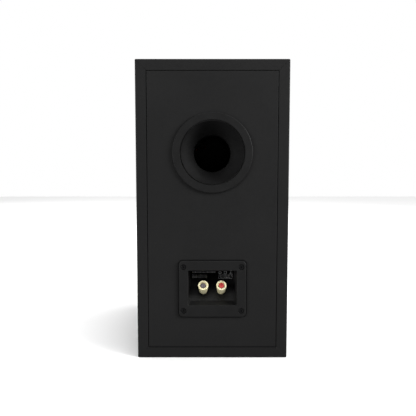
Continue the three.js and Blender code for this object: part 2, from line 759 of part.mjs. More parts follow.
function tweeterCoilGeometry() {
  const high = domeLipBottom - seatGap;
  const middle = tweeterPlateTop - tweeterTopPlateThickness / 2;
  const former = domeCoilInner + formerThickness;
  return turned([
    [domeCoilInner, middle - tweeterWindingHeight / 2], [domeCoilOuter, middle - tweeterWindingHeight / 2],
    [domeCoilOuter, middle + tweeterWindingHeight / 2], [former, middle + tweeterWindingHeight / 2],
    [former, high], [domeCoilInner, high],
  ], mediumSegments);
}

function buildTweeter() {
  const tweeter = frontFacing(tweeterHeight);
  const poleRadius = domeCoilInner - magneticGap;
  const gapRadius = domeCoilOuter + magneticGap;
  addPiece(tweeter, 'tweeter_faceplate', faceplateGeometry(), blackPlastic);
  addPiece(tweeter, 'tweeter_dome', domeGeometry(), domeSilk);
  addPiece(tweeter, 'tweeter_voice_coil', tweeterCoilGeometry(), copperWire);
  addPiece(tweeter, 'tweeter_top_plate', ring(gapRadius, tweeterMotorRadius,
    tweeterPlateTop - tweeterTopPlateThickness, tweeterPlateTop, mediumSegments), zincSteel);
  addPiece(tweeter, 'tweeter_magnet', ring(gapRadius + 2, tweeterMotorRadius,
    tweeterMagnetTop - tweeterMagnetThickness, tweeterMagnetTop, mediumSegments), ferrite);
  addPiece(tweeter, 'tweeter_yoke', turned([
    [0, tweeterYokeTop - tweeterYokeThickness], [tweeterMotorRadius, tweeterYokeTop - tweeterYokeThickness],
    [tweeterMotorRadius, tweeterYokeTop], [poleRadius, tweeterYokeTop], [poleRadius, tweeterPlateTop],
    [0, tweeterPlateTop],
  ], mediumSegments), zincSteel);
  tweeterScrews.forEach(([x, z], i) => {
    addPiece(tweeter, `tweeter_screw_${i + 1}`, screwGeometry(driverScrew, 0).translate(x, 0, z), blackSteel);
  });
}

// ---------------------------------------------------------------- crossover, leads and wadding

const boardTop = floorTop + seatGap + boardThickness;
const boardCentreY = (baffleBackY + rearPanelFrontY) / 2;
const partFoot = boardTop + seatGap;

function buildCrossover() {
  const crossover = new THREE.Group();
  crossover.position.set(0, boardCentreY, 0);
  const [halfWidth, halfLength] = [boardWidth / 2, boardLength / 2];
  addPiece(crossover, 'crossover_board',
    box(-halfWidth, halfWidth, -halfLength, halfLength, floorTop + seatGap, boardTop), boardFibre);
  const coil = (inner, outer, height, x, y) => ring(inner, outer, 0, height, mediumSegments)
    .rotateX(Math.PI / 2)
    .translate(x, y, partFoot);
  addPiece(crossover, 'woofer_inductor', coil(8, 19, 17, -26, -12), copperWire);
  addPiece(crossover, 'tweeter_inductor', coil(5, 13, 12, 32, 17), copperWire);
  const capacitorRadius = 8;
  const capacitor = rod(capacitorRadius, -16, 16, smallSegments)
    .rotateZ(Math.PI / 2)
    .rotateX(Math.PI / smallSegments)
    .translate(24, -14, partFoot + capacitorRadius * Math.cos(Math.PI / smallSegments));
  addPiece(crossover, 'crossover_capacitor', capacitor, capacitorFilm);
  addPiece(crossover, 'crossover_resistor', box(-15, 12, 20, 28, partFoot, partFoot + 8), ceramicWhite);
  root.add(crossover);
}

// A lead along a smooth curve through hand-set points.
function lead(points, leadSteps = 2 * points.length) {
  const path = new THREE.CatmullRomCurve3(points.map((p) => new THREE.Vector3(...p)));
  const section = new THREE.Shape();
  section.absarc(0, 0, leadRadius, 0, 2 * Math.PI);
  return new THREE.ExtrudeGeometry(section, { steps: leadSteps, extrudePath: path, curveSegments: 4 });
}

function buildLeads() {
  const leads = new THREE.Group();
  const clearance = leadRadius + seatGap;
  const onBoard = boardTop + clearance;
  const wooferTabY = frontY + basketShelfDepth + basketWall + seatGap + 8;
  const wooferTabZ = wooferHeight - (basketShelfRadius + basketWall + 10.8) - clearance;
  const tweeterBackY = frontY - tweeterYokeTop + tweeterYokeThickness + clearance;
  const lugReach = postFromSill + lugTabLength - 3;
  for (const [side, pole, sheath] of [[1, 'negative', blackSheath], [-1, 'positive', redSheath]]) {
    // From the tab of the solder lug, back along the posts' axis and down to the board's rear edge.
    const [low, high] = [lugReach - 4, lugReach + 3].map((up) => new THREE.Vector3(
      (side * postSpacing) / 2, -cupWall - lugThickness - 2 * seatGap - clearance, up,
    ).applyMatrix4(plateFrame).add(new THREE.Vector3(0, rearY, cupFromBottom)));
    const boardRear = boardCentreY + boardLength / 2;
    addPiece(leads, `${pole}_input_lead`, lead([
      low.toArray(), high.toArray(), [high.x, high.y - 6, high.z - 1],
      [high.x + side * 3, high.y - 10, high.z - 18], [side * 17, boardRear + 3, onBoard + 12],
      [side * 19, boardRear - 2, onBoard + 1], [side * 19, boardRear - 7, onBoard],
    ]), sheath);
    // From the board's front edge up to the woofer's tabs.
    const boardFront = boardCentreY - boardLength / 2;
    addPiece(leads, `woofer_${pole}_lead`, lead([
      [side * 5, wooferTabY - 5, wooferTabZ], [side * 5, wooferTabY, wooferTabZ],
      [side * 5, wooferTabY + 9, wooferTabZ - 6],
      [side * 6, boardFront - 2, onBoard + 12], [side * 6, boardFront + 3, onBoard + 2],
      [side * 6, boardFront + 8, onBoard],
    ]), sheath);
    // Up the side of the cabinet, past the woofer's magnet and the port tube, to the back of the tweeter.
    const wallX = innerHalfWidth - clearance - 4;
    const shift = side * 2;
    addPiece(leads, `tweeter_${pole}_lead`, lead([
      [boardWidth / 2 - 6, boardCentreY + shift, onBoard],
      [boardWidth / 2 - 1, boardCentreY + shift, onBoard + 1],
      [wallX - 1, boardCentreY + shift, onBoard + 14], [wallX, boardCentreY + shift, wooferHeight],
      [wallX, boardCentreY + shift - 10, portHeight - 40],
      [wallX - 8, tweeterBackY + 22 + shift, tweeterHeight - 24 + shift],
      [26, tweeterBackY + 9, tweeterHeight - 6 + 2 * shift],
      [12, tweeterBackY + 1.2, tweeterHeight + 2 * shift],
      [7, tweeterBackY, tweeterHeight + 2 * shift],
    ]), sheath);
  }
  root.add(leads);
}

function buildWadding() {
  const low = wooferHeight + 20;
  addPiece(root, 'wadding_pad', box(-innerHalfWidth + seatGap, -innerHalfWidth + seatGap + wadThickness,
    baffleBackY + 4, rearPanelFrontY - 4, low, cabinetHeight - wallThickness - 4), wadding);
}

buildCabinet();
buildPort();
buildTerminals();
buildWoofer();
buildTweeter();
buildCrossover();
buildLeads();
buildWadding();

export default root;
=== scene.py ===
"""The looks of a two-way bookshelf loudspeaker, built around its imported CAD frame.

The cabinet stands on z = 0, the baffle faces -Y, and the rear panel with the port and the terminals faces +Y.
Most shapes are drawn in millimetres in a local frame whose +Y points out of the face that carries them,
and to_object() takes them to the shared frame, in metres. The cabinet's boards are drawn there directly.
"""

import json
import math

import bmesh
import bpy
import numpy as np
from mathutils import Matrix, Vector


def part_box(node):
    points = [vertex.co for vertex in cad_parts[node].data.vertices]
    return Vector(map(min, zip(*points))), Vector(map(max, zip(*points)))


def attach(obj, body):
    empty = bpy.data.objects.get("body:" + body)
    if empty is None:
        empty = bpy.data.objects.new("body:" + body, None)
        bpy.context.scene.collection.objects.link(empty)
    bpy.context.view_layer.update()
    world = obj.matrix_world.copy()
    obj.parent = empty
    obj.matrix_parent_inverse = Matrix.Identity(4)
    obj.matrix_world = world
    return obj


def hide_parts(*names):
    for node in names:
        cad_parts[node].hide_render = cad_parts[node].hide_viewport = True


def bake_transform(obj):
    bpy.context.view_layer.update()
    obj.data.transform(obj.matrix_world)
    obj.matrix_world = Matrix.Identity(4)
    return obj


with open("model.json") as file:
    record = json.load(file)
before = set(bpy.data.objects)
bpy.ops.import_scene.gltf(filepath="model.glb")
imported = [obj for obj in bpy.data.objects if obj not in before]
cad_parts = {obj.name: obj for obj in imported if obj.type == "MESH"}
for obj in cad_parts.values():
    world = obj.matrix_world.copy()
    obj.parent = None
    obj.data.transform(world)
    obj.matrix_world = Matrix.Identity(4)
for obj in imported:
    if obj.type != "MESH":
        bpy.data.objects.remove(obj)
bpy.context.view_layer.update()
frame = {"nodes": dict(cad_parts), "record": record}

MM = 0.001

# -------------------- sizes, in millimetres

SEAT_GAP = 0.3

# Cabinet.
EDGE_RADIUS = 1.2
EDGE_STEPS = 4
MITRE_CHAMFER = 0.22
PANEL_CHAMFER = 0.55
PANEL_SLIT = 0.22

# Port.
PORT_MOUTH_RADIUS = 32
PORT_THROAT_RADIUS = 19.6
PORT_FLARE_DEPTH = 24
PORT_FLARE_BEND = math.radians(-8)
PORT_WALL = 2.2
PORT_EDGE_RADIUS = 1.8
PORT_GROOVE_WIDTH = 1.0
PORT_GROOVE_DEPTH = 1.0
PORT_TUBE_WALL = 1.8

# Terminal cup.
CUP_FLANGE_DROP = 1.1
CUP_SHADOW_WIDTH = 0.75
CUP_SHADOW_DEPTH = 1.2
CUP_CORNER = 4
CUP_EDGE_RADIUS = 1.1
CUP_OPENING = (50, 36)
CUP_OPENING_CORNER = 1.4
CUP_LIP_RADIUS = 0.8
CUP_DRAFT = 1.4
CUP_WALL = 2
CUP_SILL_DEPTH = 9
CUP_FILLET = 0.7
CUP_BACK_CORNER = 1.5
CUP_FOOT_INSET = 0.5
CUP_FOOT_HEIGHT = 0.8
PLATE_TILT = math.radians(38)
COUNTERBORE_SLACK = 0.4
COUNTERBORE_CHAMFER = 0.2

# Binding posts, along their own axis from the face of the sloping plate.
POST_SPACING = 19
POST_FROM_SILL = 11.5
STUD_RADIUS = 3
STUD_SHOULDER_RADIUS = 4.1
STUD_SHOULDER_HEIGHT = 0.9
STUD_HEIGHT = 12.6
STUD_TAIL = 9.5
BANANA_BORE_RADIUS = 2.05
BANANA_BORE_DEPTH = 15.3
WIRE_HOLE_RADIUS = 1.3
WIRE_HOLE_HEIGHT = 3.4
WASHER_RADIUS = 4.1
WASHER_THICKNESS = 0.8
KNOB_RADIUS = 5.45
KNOB_FOOT_RADIUS = 4.5
KNOB_LENGTH = 12.1
KNOB_SOCKET_ACROSS_CORNERS = 7.8
KNOB_SOCKET_DEPTH = 1.8
CAP_HEAD_RADIUS = 2.8
CAP_HEAD_HEIGHT = 1.3
CAP_PIN_LENGTH = 7

# Woofer.
WOOFER_RIM_WIDTH = 7.8
WOOFER_FLANGE_THICKNESS = 3.7
WOOFER_LEDGE_DEPTH = 1.5
WOOFER_BODY_STEP = 10.8
BASKET_WALL = 1.6
BASKET_NECK_DEPTH = 14
BASKET_SHELF_DEPTH = 26
BASKET_SHELF_RADIUS = 30
BASKET_SHELF_WIDTH = 7.3
BASKET_BASE_DEPTH = 33.4
BASKET_WINDOW_WIDTH = 27
BASKET_WINDOWS = 6
BASKET_RIB = 3
BASKET_SILL = 1
SURROUND_ROLL_WIDTH = 10.5
SURROUND_LIP_WIDTH = 4.2
SURROUND_THICKNESS = 0.6
CONE_DEPTH = 18.5
CONE_THICKNESS = 0.9
CONE_SAG = 1.1
CONE_RIM_OVERLAP = 0.2
DUST_CAP_RADIUS = 19.6
DUST_CAP_RISE = 5.6
DUST_CAP_THICKNESS = 0.6
DUST_CAP_LIFT = 0.35
COIL_INNER_RADIUS = 12.75
FORMER_THICKNESS = 0.4
SPIDER_WAVES = 3
SPIDER_WAVE_HEIGHT = 1.1
SPIDER_THICKNESS = 0.6
SPIDER_INNER_LAND = 1.2
SPIDER_OUTER_LAND = 0.8

# Tweeter.
TWEETER_FLANGE_THICKNESS = 3.7
TWEETER_BODY_STEP = 11
WAVEGUIDE_MOUTH_RADIUS = 39
WAVEGUIDE_THROAT_RADIUS = 15.7
WAVEGUIDE_DEPTH = 13.6
WAVEGUIDE_BACK = 2.2
WAVEGUIDE_LIP = 0.5
WAVEGUIDE_TAPER = 3
DOME_RADIUS = 12.7
DOME_RISE = 6
DOME_THICKNESS = 0.35
DOME_ROLL_WIDTH = 2.2
DOME_LIP_WIDTH = 3.4
DOME_TRAVEL_GAP = 0.42

# Screws: the head's radius and height, the shank's radius and the length below the face.
CUP_SCREW = (2.5, 1.1, 1.3, 9)
DRIVER_SCREW = (2.9, 1.3, 1.5, 11.5)
CUP_SCREWS = [f"terminal_screw_{i}" for i in range(1, 5)]
WOOFER_SCREWS = [f"woofer_screw_{i}" for i in range(1, 5)]
TWEETER_SCREWS = [f"tweeter_screw_{i}" for i in range(1, 4)]

# A screw's cross recess, at its mouth and at its floor: half its length as a share of the head's radius,
# and half the width of an arm.
RECESS_MOUTH = (0.58, 0.42)
RECESS_FLOOR = (0.3, 0.3)
RECESS_DEPTH = 0.85

# Segments round a turned shape, and the angle above which an edge stays crisp.
FINE_ROUND = 128
ROUND = 96
KNOB_ROUND = 64
SMALL_ROUND = 48
PILOT_ROUND = 24
CRISP_ANGLE = math.radians(32)

# How far, in metres, a corner may lie from where it should and still count as there.
NEAR = 1e-6

# How far the cutters of holes run into the cabinet, and out past the face that they open.
PANEL_CUT_DEPTH = 30
BAFFLE_CUT_DEPTH = 40
OVERSHOOT = 5

# -------------------- places, from the frame

left_low, left_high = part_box("left_side_panel")
baffle_low, baffle_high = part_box("front_baffle")
panel_low, panel_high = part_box("rear_panel")
port_low, port_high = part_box("port_flare")
tube_low, tube_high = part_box("port_tube")
cup_low, cup_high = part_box("terminal_cup")
basket_low, basket_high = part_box("woofer_basket")
faceplate_low, faceplate_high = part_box("tweeter_faceplate")

WALL = left_high.x - left_low.x
REAR_Y = left_high.y
FRONT_Y = baffle_low.y
BAFFLE_BACK_Y = baffle_high.y
HEIGHT = baffle_high.z
HALF_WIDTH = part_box("right_side_panel")[1].x
PORT_Z = (port_low.z + port_high.z) / 2
CUP_Z = (cup_low.z + cup_high.z) / 2 + CUP_FLANGE_DROP * MM
WOOFER_Z = (basket_low.z + basket_high.z) / 2
TWEETER_Z = (faceplate_low.z + faceplate_high.z) / 2
PORT_FLANGE_RADIUS = (port_high.x - port_low.x) / 2 / MM
PORT_PROUD = (port_high.y - REAR_Y) / MM
PORT_SPIGOT_END = (port_low.y - REAR_Y) / MM
CUP_WIDTH = (cup_high.x - cup_low.x) / MM
CUP_HEIGHT = (cup_high.z - cup_low.z) / MM
CUP_PROUD = (cup_high.y - REAR_Y) / MM
WOOFER_RADIUS = (basket_high.x - basket_low.x) / 2 / MM
TWEETER_RADIUS = (faceplate_high.x - faceplate_low.x) / 2 / MM


def rear_frame(z):
    return Matrix.Translation((0, REAR_Y, z))


def front_frame(z):
    return Matrix.Translation((0, FRONT_Y, z)) @ Matrix.Rotation(math.pi, 4, "Z")


PORT_FRAME = rear_frame(PORT_Z)
CUP_FRAME = rear_frame(CUP_Z)
WOOFER_FRAME = front_frame(WOOFER_Z)
TWEETER_FRAME = front_frame(TWEETER_Z)
PLATE_FOOT = Vector((0, -CUP_SILL_DEPTH, CUP_DRAFT - CUP_OPENING[1] / 2))
PLATE_FRAME = CUP_FRAME @ Matrix.Translation(PLATE_FOOT * MM) @ Matrix.Rotation(PLATE_TILT, 4, "X")

# -------------------- shape helpers


def fillet(points, closed=True, steps=4):
    """An outline with each corner (a, b, radius) rounded; a corner given as (a, b) stays sharp."""
    count = len(points)
    outline = []
    for i, point in enumerate(points):
        corner = Vector(point[:2])
        radius = point[2] if len(point) > 2 else 0
        at_end = not closed and i in (0, count - 1)
        if radius == 0 or at_end:
            outline.append(tuple(corner))
            continue
        before = Vector(points[i - 1][:2]) - corner
        after = Vector(points[(i + 1) % count][:2]) - corner
        half_angle = before.angle(after) / 2
        reach = min(radius / math.tan(half_angle), 0.49 * before.length, 0.49 * after.length)
        radius = reach * math.tan(half_angle)
        bisector = (before.normalized() + after.normalized()).normalized()
        centre = corner + bisector * (radius / math.sin(half_angle))
        first = corner + before.normalized() * reach - centre
        last = corner + after.normalized() * reach - centre
        sweep = first.angle(last)
        for step in range(steps + 1):
            share = step / steps
            spoke = first * math.sin((1 - share) * sweep) + last * math.sin(share * sweep)
            outline.append(tuple(centre + spoke / math.sin(sweep)))
    return outline


def arc(centre, radii, start, end, steps):
    """Points of an elliptical arc, as (radius, height) pairs."""
    angles = [start + (end - start) * i / steps for i in range(steps + 1)]
    return [(centre[0] + radii[0] * math.cos(a), centre[1] + radii[1] * math.sin(a)) for a in angles]


def quarter_turn(steps):
    return [i * math.pi / (2 * steps) for i in range(steps + 1)]


def turned(profile, segments=ROUND):
    """The solid that a (radius, height) outline makes about the local Y axis."""
    bm = bmesh.new()
    rings = []
    for radius, height in profile:
        if radius < NEAR:
            rings.append([bm.verts.new((0, height, 0))])
            continue
        angles = [2 * math.pi * i / segments for i in range(segments)]
        rings.append([bm.verts.new((radius * math.sin(a), height, radius * math.cos(a))) for a in angles])
    on_axis = len(rings[0]) == 1 and len(rings[-1]) == 1
    pairs = list(zip(rings, rings[1:])) + ([] if on_axis else [(rings[-1], rings[0])])
    for lower, upper in pairs:
        for i in range(segments):
            j = (i + 1) % segments
            below = [lower[i % len(lower)], lower[j % len(lower)]]
            above = [upper[j % len(upper)], upper[i % len(upper)]]
            corners = list(dict.fromkeys(below + above))
            if len(corners) > 2:
                bm.faces.new(corners)
    bmesh.ops.recalc_face_normals(bm, faces=bm.faces)
    return bm


def rod(radius, start, end, segments=SMALL_ROUND):
    return turned([(0, start), (radius, start), (radius, end), (0, end)], segments)


def loft(loops):
    """A closed solid through loops of equally many points, with flat ends."""
    bm = bmesh.new()
    rings = [[bm.verts.new(point) for point in loop] for loop in loops]
    for lower, upper in zip(rings, rings[1:]):
        for i in range(len(lower)):
            j = (i + 1) % len(lower)
            bm.faces.new((lower[i], lower[j], upper[j], upper[i]))
    bm.faces.new(rings[0])
    bm.faces.new(rings[-1])
    bmesh.ops.recalc_face_normals(bm, faces=bm.faces)
    return bm


def box(low, high):
    bm = bmesh.new()
    bmesh.ops.create_cube(bm, size=1)
    size = Vector(high) - Vector(low)
    middle = (Vector(high) + Vector(low)) / 2
    bm.transform(Matrix.Translation(middle) @ Matrix.Diagonal((*size, 1)))
    return bm


def rounded_rectangle(width, height, corner, steps=5):
    """Points (x, z) round a rectangle with round corners, the same number for any size."""
    points = []
    for quarter, (x, z) in enumerate(((1, 1), (-1, 1), (-1, -1), (1, -1))):
        centre = (x * (width / 2 - corner), z * (height / 2 - corner))
        start = quarter * math.pi / 2
        points += arc(centre, (corner, corner), start, start + math.pi / 2, steps)
    return points


def prism(outline, start, end):
    """A solid between two heights with the same (x, z) outline."""
    return loft([[(x, start, z) for x, z in outline], [(x, end, z) for x, z in outline]])


def merged(shapes):
    """Several shapes in one mesh, as they stand."""
    out = bmesh.new()
    for shape in shapes:
        mesh = bpy.data.meshes.new("part")
        shape.to_mesh(mesh)
        shape.free()
        out.from_mesh(mesh)
        bpy.data.meshes.remove(mesh)
    return out


def bevel(bm, edges, width, segments=1):
    """Eases edges of a shape drawn in metres by a width in millimetres, as a chamfer or in more segments."""
    bmesh.ops.bevel(
        bm, geom=edges, offset=width * MM, offset_type="OFFSET",
        segments=segments, profile=0.5, affect="EDGES",
    )


def keep_behind(bm, point, normal):
    """Cuts a convex solid by a plane, keeps what lies behind it, and closes the cut."""
    everything = bm.verts[:] + bm.edges[:] + bm.faces[:]
    found = bmesh.ops.bisect_plane(
        bm, geom=everything, dist=1e-7, plane_co=point, plane_no=normal, clear_outer=True
    )
    rim = [e for e in found["geom_cut"] if isinstance(e, bmesh.types.BMEdge)]
    bmesh.ops.contextual_create(bm, geom=rim)
    bmesh.ops.recalc_face_normals(bm, faces=bm.faces)


def to_object(name, bm, place=None):
    """An object from a shape; a place is the frame of a shape drawn in millimetres."""
    if place is not None:
        bm.transform(place @ Matrix.Scale(MM, 4))
    mesh = bpy.data.meshes.new(name)
    bm.to_mesh(mesh)
    bm.free()
    obj = bpy.data.objects.new(name, mesh)
    bpy.context.scene.collection.objects.link(obj)
    return obj


def apply_modifiers(obj):
    bpy.context.view_layer.update()
    evaluated = obj.evaluated_get(bpy.context.evaluated_depsgraph_get())
    mesh = bpy.data.meshes.new_from_object(evaluated)
    obj.modifiers.clear()
    old, obj.data = obj.data, mesh
    bpy.data.meshes.remove(old)


def close_up(mesh):
    """Joins corners that a cut left a hair apart, and fills the slits between them."""
    bm = bmesh.new()
    bm.from_mesh(mesh)
    bmesh.ops.remove_doubles(bm, verts=bm.verts, dist=NEAR)
    bmesh.ops.holes_fill(bm, edges=[e for e in bm.edges if e.is_boundary], sides=8)
    bm.to_mesh(mesh)
    bm.free()


def cutter(bm, place):
    """An object for cut() to use up, from a shape in millimetres."""
    return to_object("cutter", bm, place)


def cut(obj, cutters):
    """Takes the cutters' volumes out of obj, and removes the cutters."""
    for tool in cutters:
        modifier = obj.modifiers.new("cut", "BOOLEAN")
        modifier.operation = "DIFFERENCE"
        modifier.solver = "EXACT"
        modifier.object = tool
    apply_modifiers(obj)
    close_up(obj.data)
    for tool in cutters:
        mesh = tool.data
        bpy.data.objects.remove(tool)
        bpy.data.meshes.remove(mesh)


def shade(obj):
    """Smooth shading that stays crisp at corners and flat on flats."""
    mesh = obj.data
    mesh.polygons.foreach_set("use_smooth", [True] * len(mesh.polygons))
    mesh.set_sharp_from_angle(angle=CRISP_ANGLE)
    weighted = obj.modifiers.new("flat_faces_stay_flat", "WEIGHTED_NORMAL")
    weighted.keep_sharp = True
    weighted.weight = 80


def dress(obj, body, slot, node=None):
    """Gives a piece its finish, its body and the CAD node that it stands for."""
    obj.data.materials.clear()
    obj.data.materials.append(MATERIALS[slot])
    shade(obj)
    if node:
        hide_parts(node)
    if body:
        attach(obj, body)


def piece(node, bm, place, body, slot, cutters=()):
    """A finished piece that stands for one CAD node."""
    obj = to_object(f"{node}_visual", bm, place)
    if cutters:
        cut(obj, cutters)
    dress(obj, body, slot, node)


# -------------------- materials


class Surface:
    """A procedural material, built up from noise in the piece's own coordinates."""

    def __init__(self, name, colour, roughness, metallic=0.0, specular=0.5):
        self.name = name
        self.material = bpy.data.materials.new(name)
        self.material.use_nodes = True
        self.nodes = self.material.node_tree.nodes
        self.links = self.material.node_tree.links
        self.shader = self.nodes["Principled BSDF"]
        self.colour = colour
        self.shader.inputs["Base Color"].default_value = (*colour, 1)
        self.shader.inputs["Roughness"].default_value = roughness
        self.shader.inputs["Metallic"].default_value = metallic
        self.shader.inputs["Specular IOR Level"].default_value = specular
        self.roughness = roughness
        self.coordinates = self.nodes.new("ShaderNodeTexCoord").outputs["Object"]

    def texture(self, kind, scale):
        node = self.nodes.new(kind)
        node.inputs["Scale"].default_value = scale
        self.links.new(self.coordinates, node.inputs["Vector"])
        return node

    def noise(self, scale, detail):
        node = self.texture("ShaderNodeTexNoise", scale)
        node.inputs["Detail"].default_value = detail
        return node.outputs["Fac"]

    def cells(self, scale):
        return self.texture("ShaderNodeTexVoronoi", scale).outputs["Distance"]

    def waves(self, scale, direction, distortion=0.0):
        """Bands across one axis."""
        node = self.texture("ShaderNodeTexWave", scale)
        node.wave_type = "BANDS"
        node.bands_direction = direction
        node.inputs["Distortion"].default_value = distortion
        return node.outputs["Fac"]

    def product(self, first, second):
        node = self.nodes.new("ShaderNodeMath")
        node.operation = "MULTIPLY"
        self.links.new(first, node.inputs[0])
        self.links.new(second, node.inputs[1])
        return node.outputs["Value"]

    def tint(self, factor, other, low=0.3, high=0.7):
        """Mixes the base colour towards another where a factor is high."""
        ramp = self.nodes.new("ShaderNodeValToRGB")
        ramp.color_ramp.elements[0].position = low
        ramp.color_ramp.elements[1].position = high
        ramp.color_ramp.elements[0].color = (*self.colour, 1)
        ramp.color_ramp.elements[1].color = (*other, 1)
        self.links.new(factor, ramp.inputs["Fac"])
        self.links.new(ramp.outputs["Color"], self.shader.inputs["Base Color"])
        return self

    def rough(self, factor, spread):
        """Lets the roughness wander by a spread each way."""
        node = self.nodes.new("ShaderNodeMapRange")
        node.inputs["From Min"].default_value = 0.3
        node.inputs["From Max"].default_value = 0.7
        node.inputs["To Min"].default_value = self.roughness - spread
        node.inputs["To Max"].default_value = self.roughness + spread
        self.links.new(factor, node.inputs["Value"])
        self.links.new(node.outputs["Result"], self.shader.inputs["Roughness"])
        return self

    def bump(self, height, depth_mm):
        """Adds relief of a depth in millimetres, on top of any before it."""
        node = self.nodes.new("ShaderNodeBump")
        node.inputs["Distance"].default_value = depth_mm * MM
        node.inputs["Strength"].default_value = 1.0
        self.links.new(height, node.inputs["Height"])
        before = self.shader.inputs["Normal"]
        if before.is_linked:
            self.links.new(before.links[0].from_socket, node.inputs["Normal"])
        self.links.new(node.outputs["Normal"], before)
        return self


def finish(name, colour, roughness, tint, rough, *bumps, metallic=0.0, specular=0.5):
    """A surface that wanders with noise, each time given as a scale, a detail and what it does.

    tint brings in another colour, rough spreads the roughness, and each bump has a depth in millimetres.
    """
    s = Surface(name, colour, roughness, metallic, specular)
    s.tint(s.noise(*tint[:2]), tint[2])
    if rough:
        s.rough(s.noise(*rough[:2]), rough[2])
    for scale, detail, depth_mm in bumps:
        s.bump(s.noise(scale, detail), depth_mm)
    return s


def glossy(name, colour, roughness, other):
    """The plastic of the banana caps."""
    return finish(name, colour, roughness, (350, 3, other), (900, 3, 0.05), (3000, 2, 0.006))


def sheath(name, colour):
    lighter = tuple(c * 1.3 for c in colour)
    return finish(name, colour, 0.42, (200, 3, lighter), None, (1600, 2, 0.01))


def black_vinyl():
    s = finish("black_vinyl", (0.0145, 0.0145, 0.0148), 0.58, (14, 5, (0.0185, 0.0184, 0.0186)),
               (420, 4, 0.06), specular=0.32)
    s.bump(s.cells(1500), 0.022)
    return s.bump(s.noise(5200, 2), 0.008)


def banded(name, colour, roughness, tint, waves, depth_mm, metallic=0.0, specular=0.5):
    """A surface with fine parallel ridges."""
    s = finish(name, colour, roughness, tint, None, metallic=metallic, specular=specular)
    return s.bump(s.waves(*waves), depth_mm)


def woven(name, colour, roughness, scale, other, depth_mm, specular=0.5):
    """A cloth whose threads cross in its own X and Z."""
    s = Surface(name, colour, roughness, specular=specular)
    weave = s.product(s.waves(scale, "X"), s.waves(scale, "Z"))
    s.tint(weave, other, 0.05, 0.6)
    return s.bump(weave, depth_mm)


SURFACES = [
    black_vinyl(),
    finish("black_paint", (0.013, 0.013, 0.0135), 0.42, (22, 4, (0.0165, 0.0165, 0.017)),
           (90, 4, 0.05), (900, 3, 0.012), specular=0.4),
    finish("black_plastic", (0.0150, 0.0150, 0.0152), 0.56, (40, 4, (0.01875, 0.01875, 0.019)),
           (160, 3, 0.05), (2600, 2, 0.012), specular=0.25),
    banded("card_tube", (0.012, 0.012, 0.013), 0.85, (260, 5, (0.02, 0.019, 0.019)),
           (260, "Y", 0.4), 0.03, specular=0.25),
    finish("black_steel", (0.006, 0.006, 0.0065), 0.42, (300, 4, (0.010, 0.010, 0.011)),
           (700, 3, 0.08), (2400, 3, 0.01), specular=0.3),
    finish("gold_plate", (0.80, 0.72, 0.43), 0.48, (220, 4, (0.87, 0.82, 0.56)),
           (500, 5, 0.06), (1800, 4, 0.004), metallic=0.22),
    glossy("red_plastic", (0.78, 0.055, 0.045), 0.34, (0.86, 0.085, 0.07)),
    glossy("grey_plastic", (0.150, 0.128, 0.140), 0.36, (0.19, 0.165, 0.178)),
    finish("zinc_steel", (0.56, 0.57, 0.59), 0.34, (120, 5, (0.66, 0.665, 0.64)),
           (260, 5, 0.09), (1500, 4, 0.006), metallic=1.0),
    finish("ferrite", (0.030, 0.031, 0.033), 0.62, (420, 6, (0.052, 0.052, 0.055)),
           (300, 4, 0.1), (1300, 6, 0.05)),
    finish("rubber", (0.011, 0.011, 0.0115), 0.62, (120, 4, (0.016, 0.016, 0.0165)),
           (500, 3, 0.07), (3200, 2, 0.01), specular=0.3),
    finish("cone_paper", (0.020, 0.0205, 0.022), 0.72, (900, 6, (0.038, 0.038, 0.041)),
           (400, 4, 0.08), (2200, 5, 0.05), (260, 4, 0.06), specular=0.3),
    woven("spider_cloth", (0.42, 0.24, 0.075), 0.8, 900, (0.62, 0.40, 0.16), 0.12),
    banded("copper_wire", (0.62, 0.25, 0.11), 0.32, (300, 4, (0.72, 0.33, 0.16)),
           (420, "Z"), 0.12, metallic=1.0),
    woven("dome_silk", (0.013, 0.013, 0.014), 0.55, 1500, (0.024, 0.024, 0.026), 0.03, specular=0.4),
    finish("board_fibre", (0.16, 0.075, 0.028), 0.7, (600, 6, (0.25, 0.13, 0.055)),
           (250, 4, 0.08), (1800, 4, 0.03)),
    banded("capacitor_film", (0.72, 0.48, 0.02), 0.38, (80, 3, (0.80, 0.56, 0.04)),
           (240, "X", 0.6), 0.03),
    finish("ceramic", (0.66, 0.63, 0.55), 0.72, (500, 5, (0.74, 0.72, 0.65)), None, (900, 6, 0.05)),
    finish("wadding", (0.74, 0.72, 0.66), 0.95, (110, 8, (0.86, 0.85, 0.81)), None, (260, 9, 1.4),
           specular=0.2),
    sheath("red_sheath", (0.45, 0.02, 0.016)),
    sheath("black_sheath", (0.012, 0.012, 0.012)),
]
MATERIALS = {surface.name: surface.material for surface in SURFACES}
MATERIALS["dome_silk"].node_tree.nodes["Principled BSDF"].inputs["Sheen Weight"].default_value = 0.15
LABEL_INK = finish("label_ink", (0.74, 0.74, 0.75), 0.6, (1500, 4, (0.82, 0.82, 0.83)), None,
                   (2600, 2, 0.004)).material

# -------------------- cabinet


def rounded_cabinet():
    """The cabinet's whole outer block, in metres, with every edge rounded."""
    bm = box((-HALF_WIDTH, FRONT_Y, 0), (HALF_WIDTH, REAR_Y, HEIGHT))
    bevel(bm, bm.edges[:], EDGE_RADIUS, EDGE_STEPS)
    return bm


def ease_rear_edges(bm, planes):
    """Chamfers the straight edges that a board's mitres make with its rear face."""
    def on_plane(edge, point, normal):
        return all(abs((v.co - Vector(point)).dot(Vector(normal))) < NEAR for v in edge.verts)

    rear_face = ((0, REAR_Y, 0), (0, 1, 0))
    edges = [
        e for e in bm.edges
        if on_plane(e, *rear_face) and any(on_plane(e, *plane) for plane in planes)
    ]
    bevel(bm, edges, MITRE_CHAMFER)


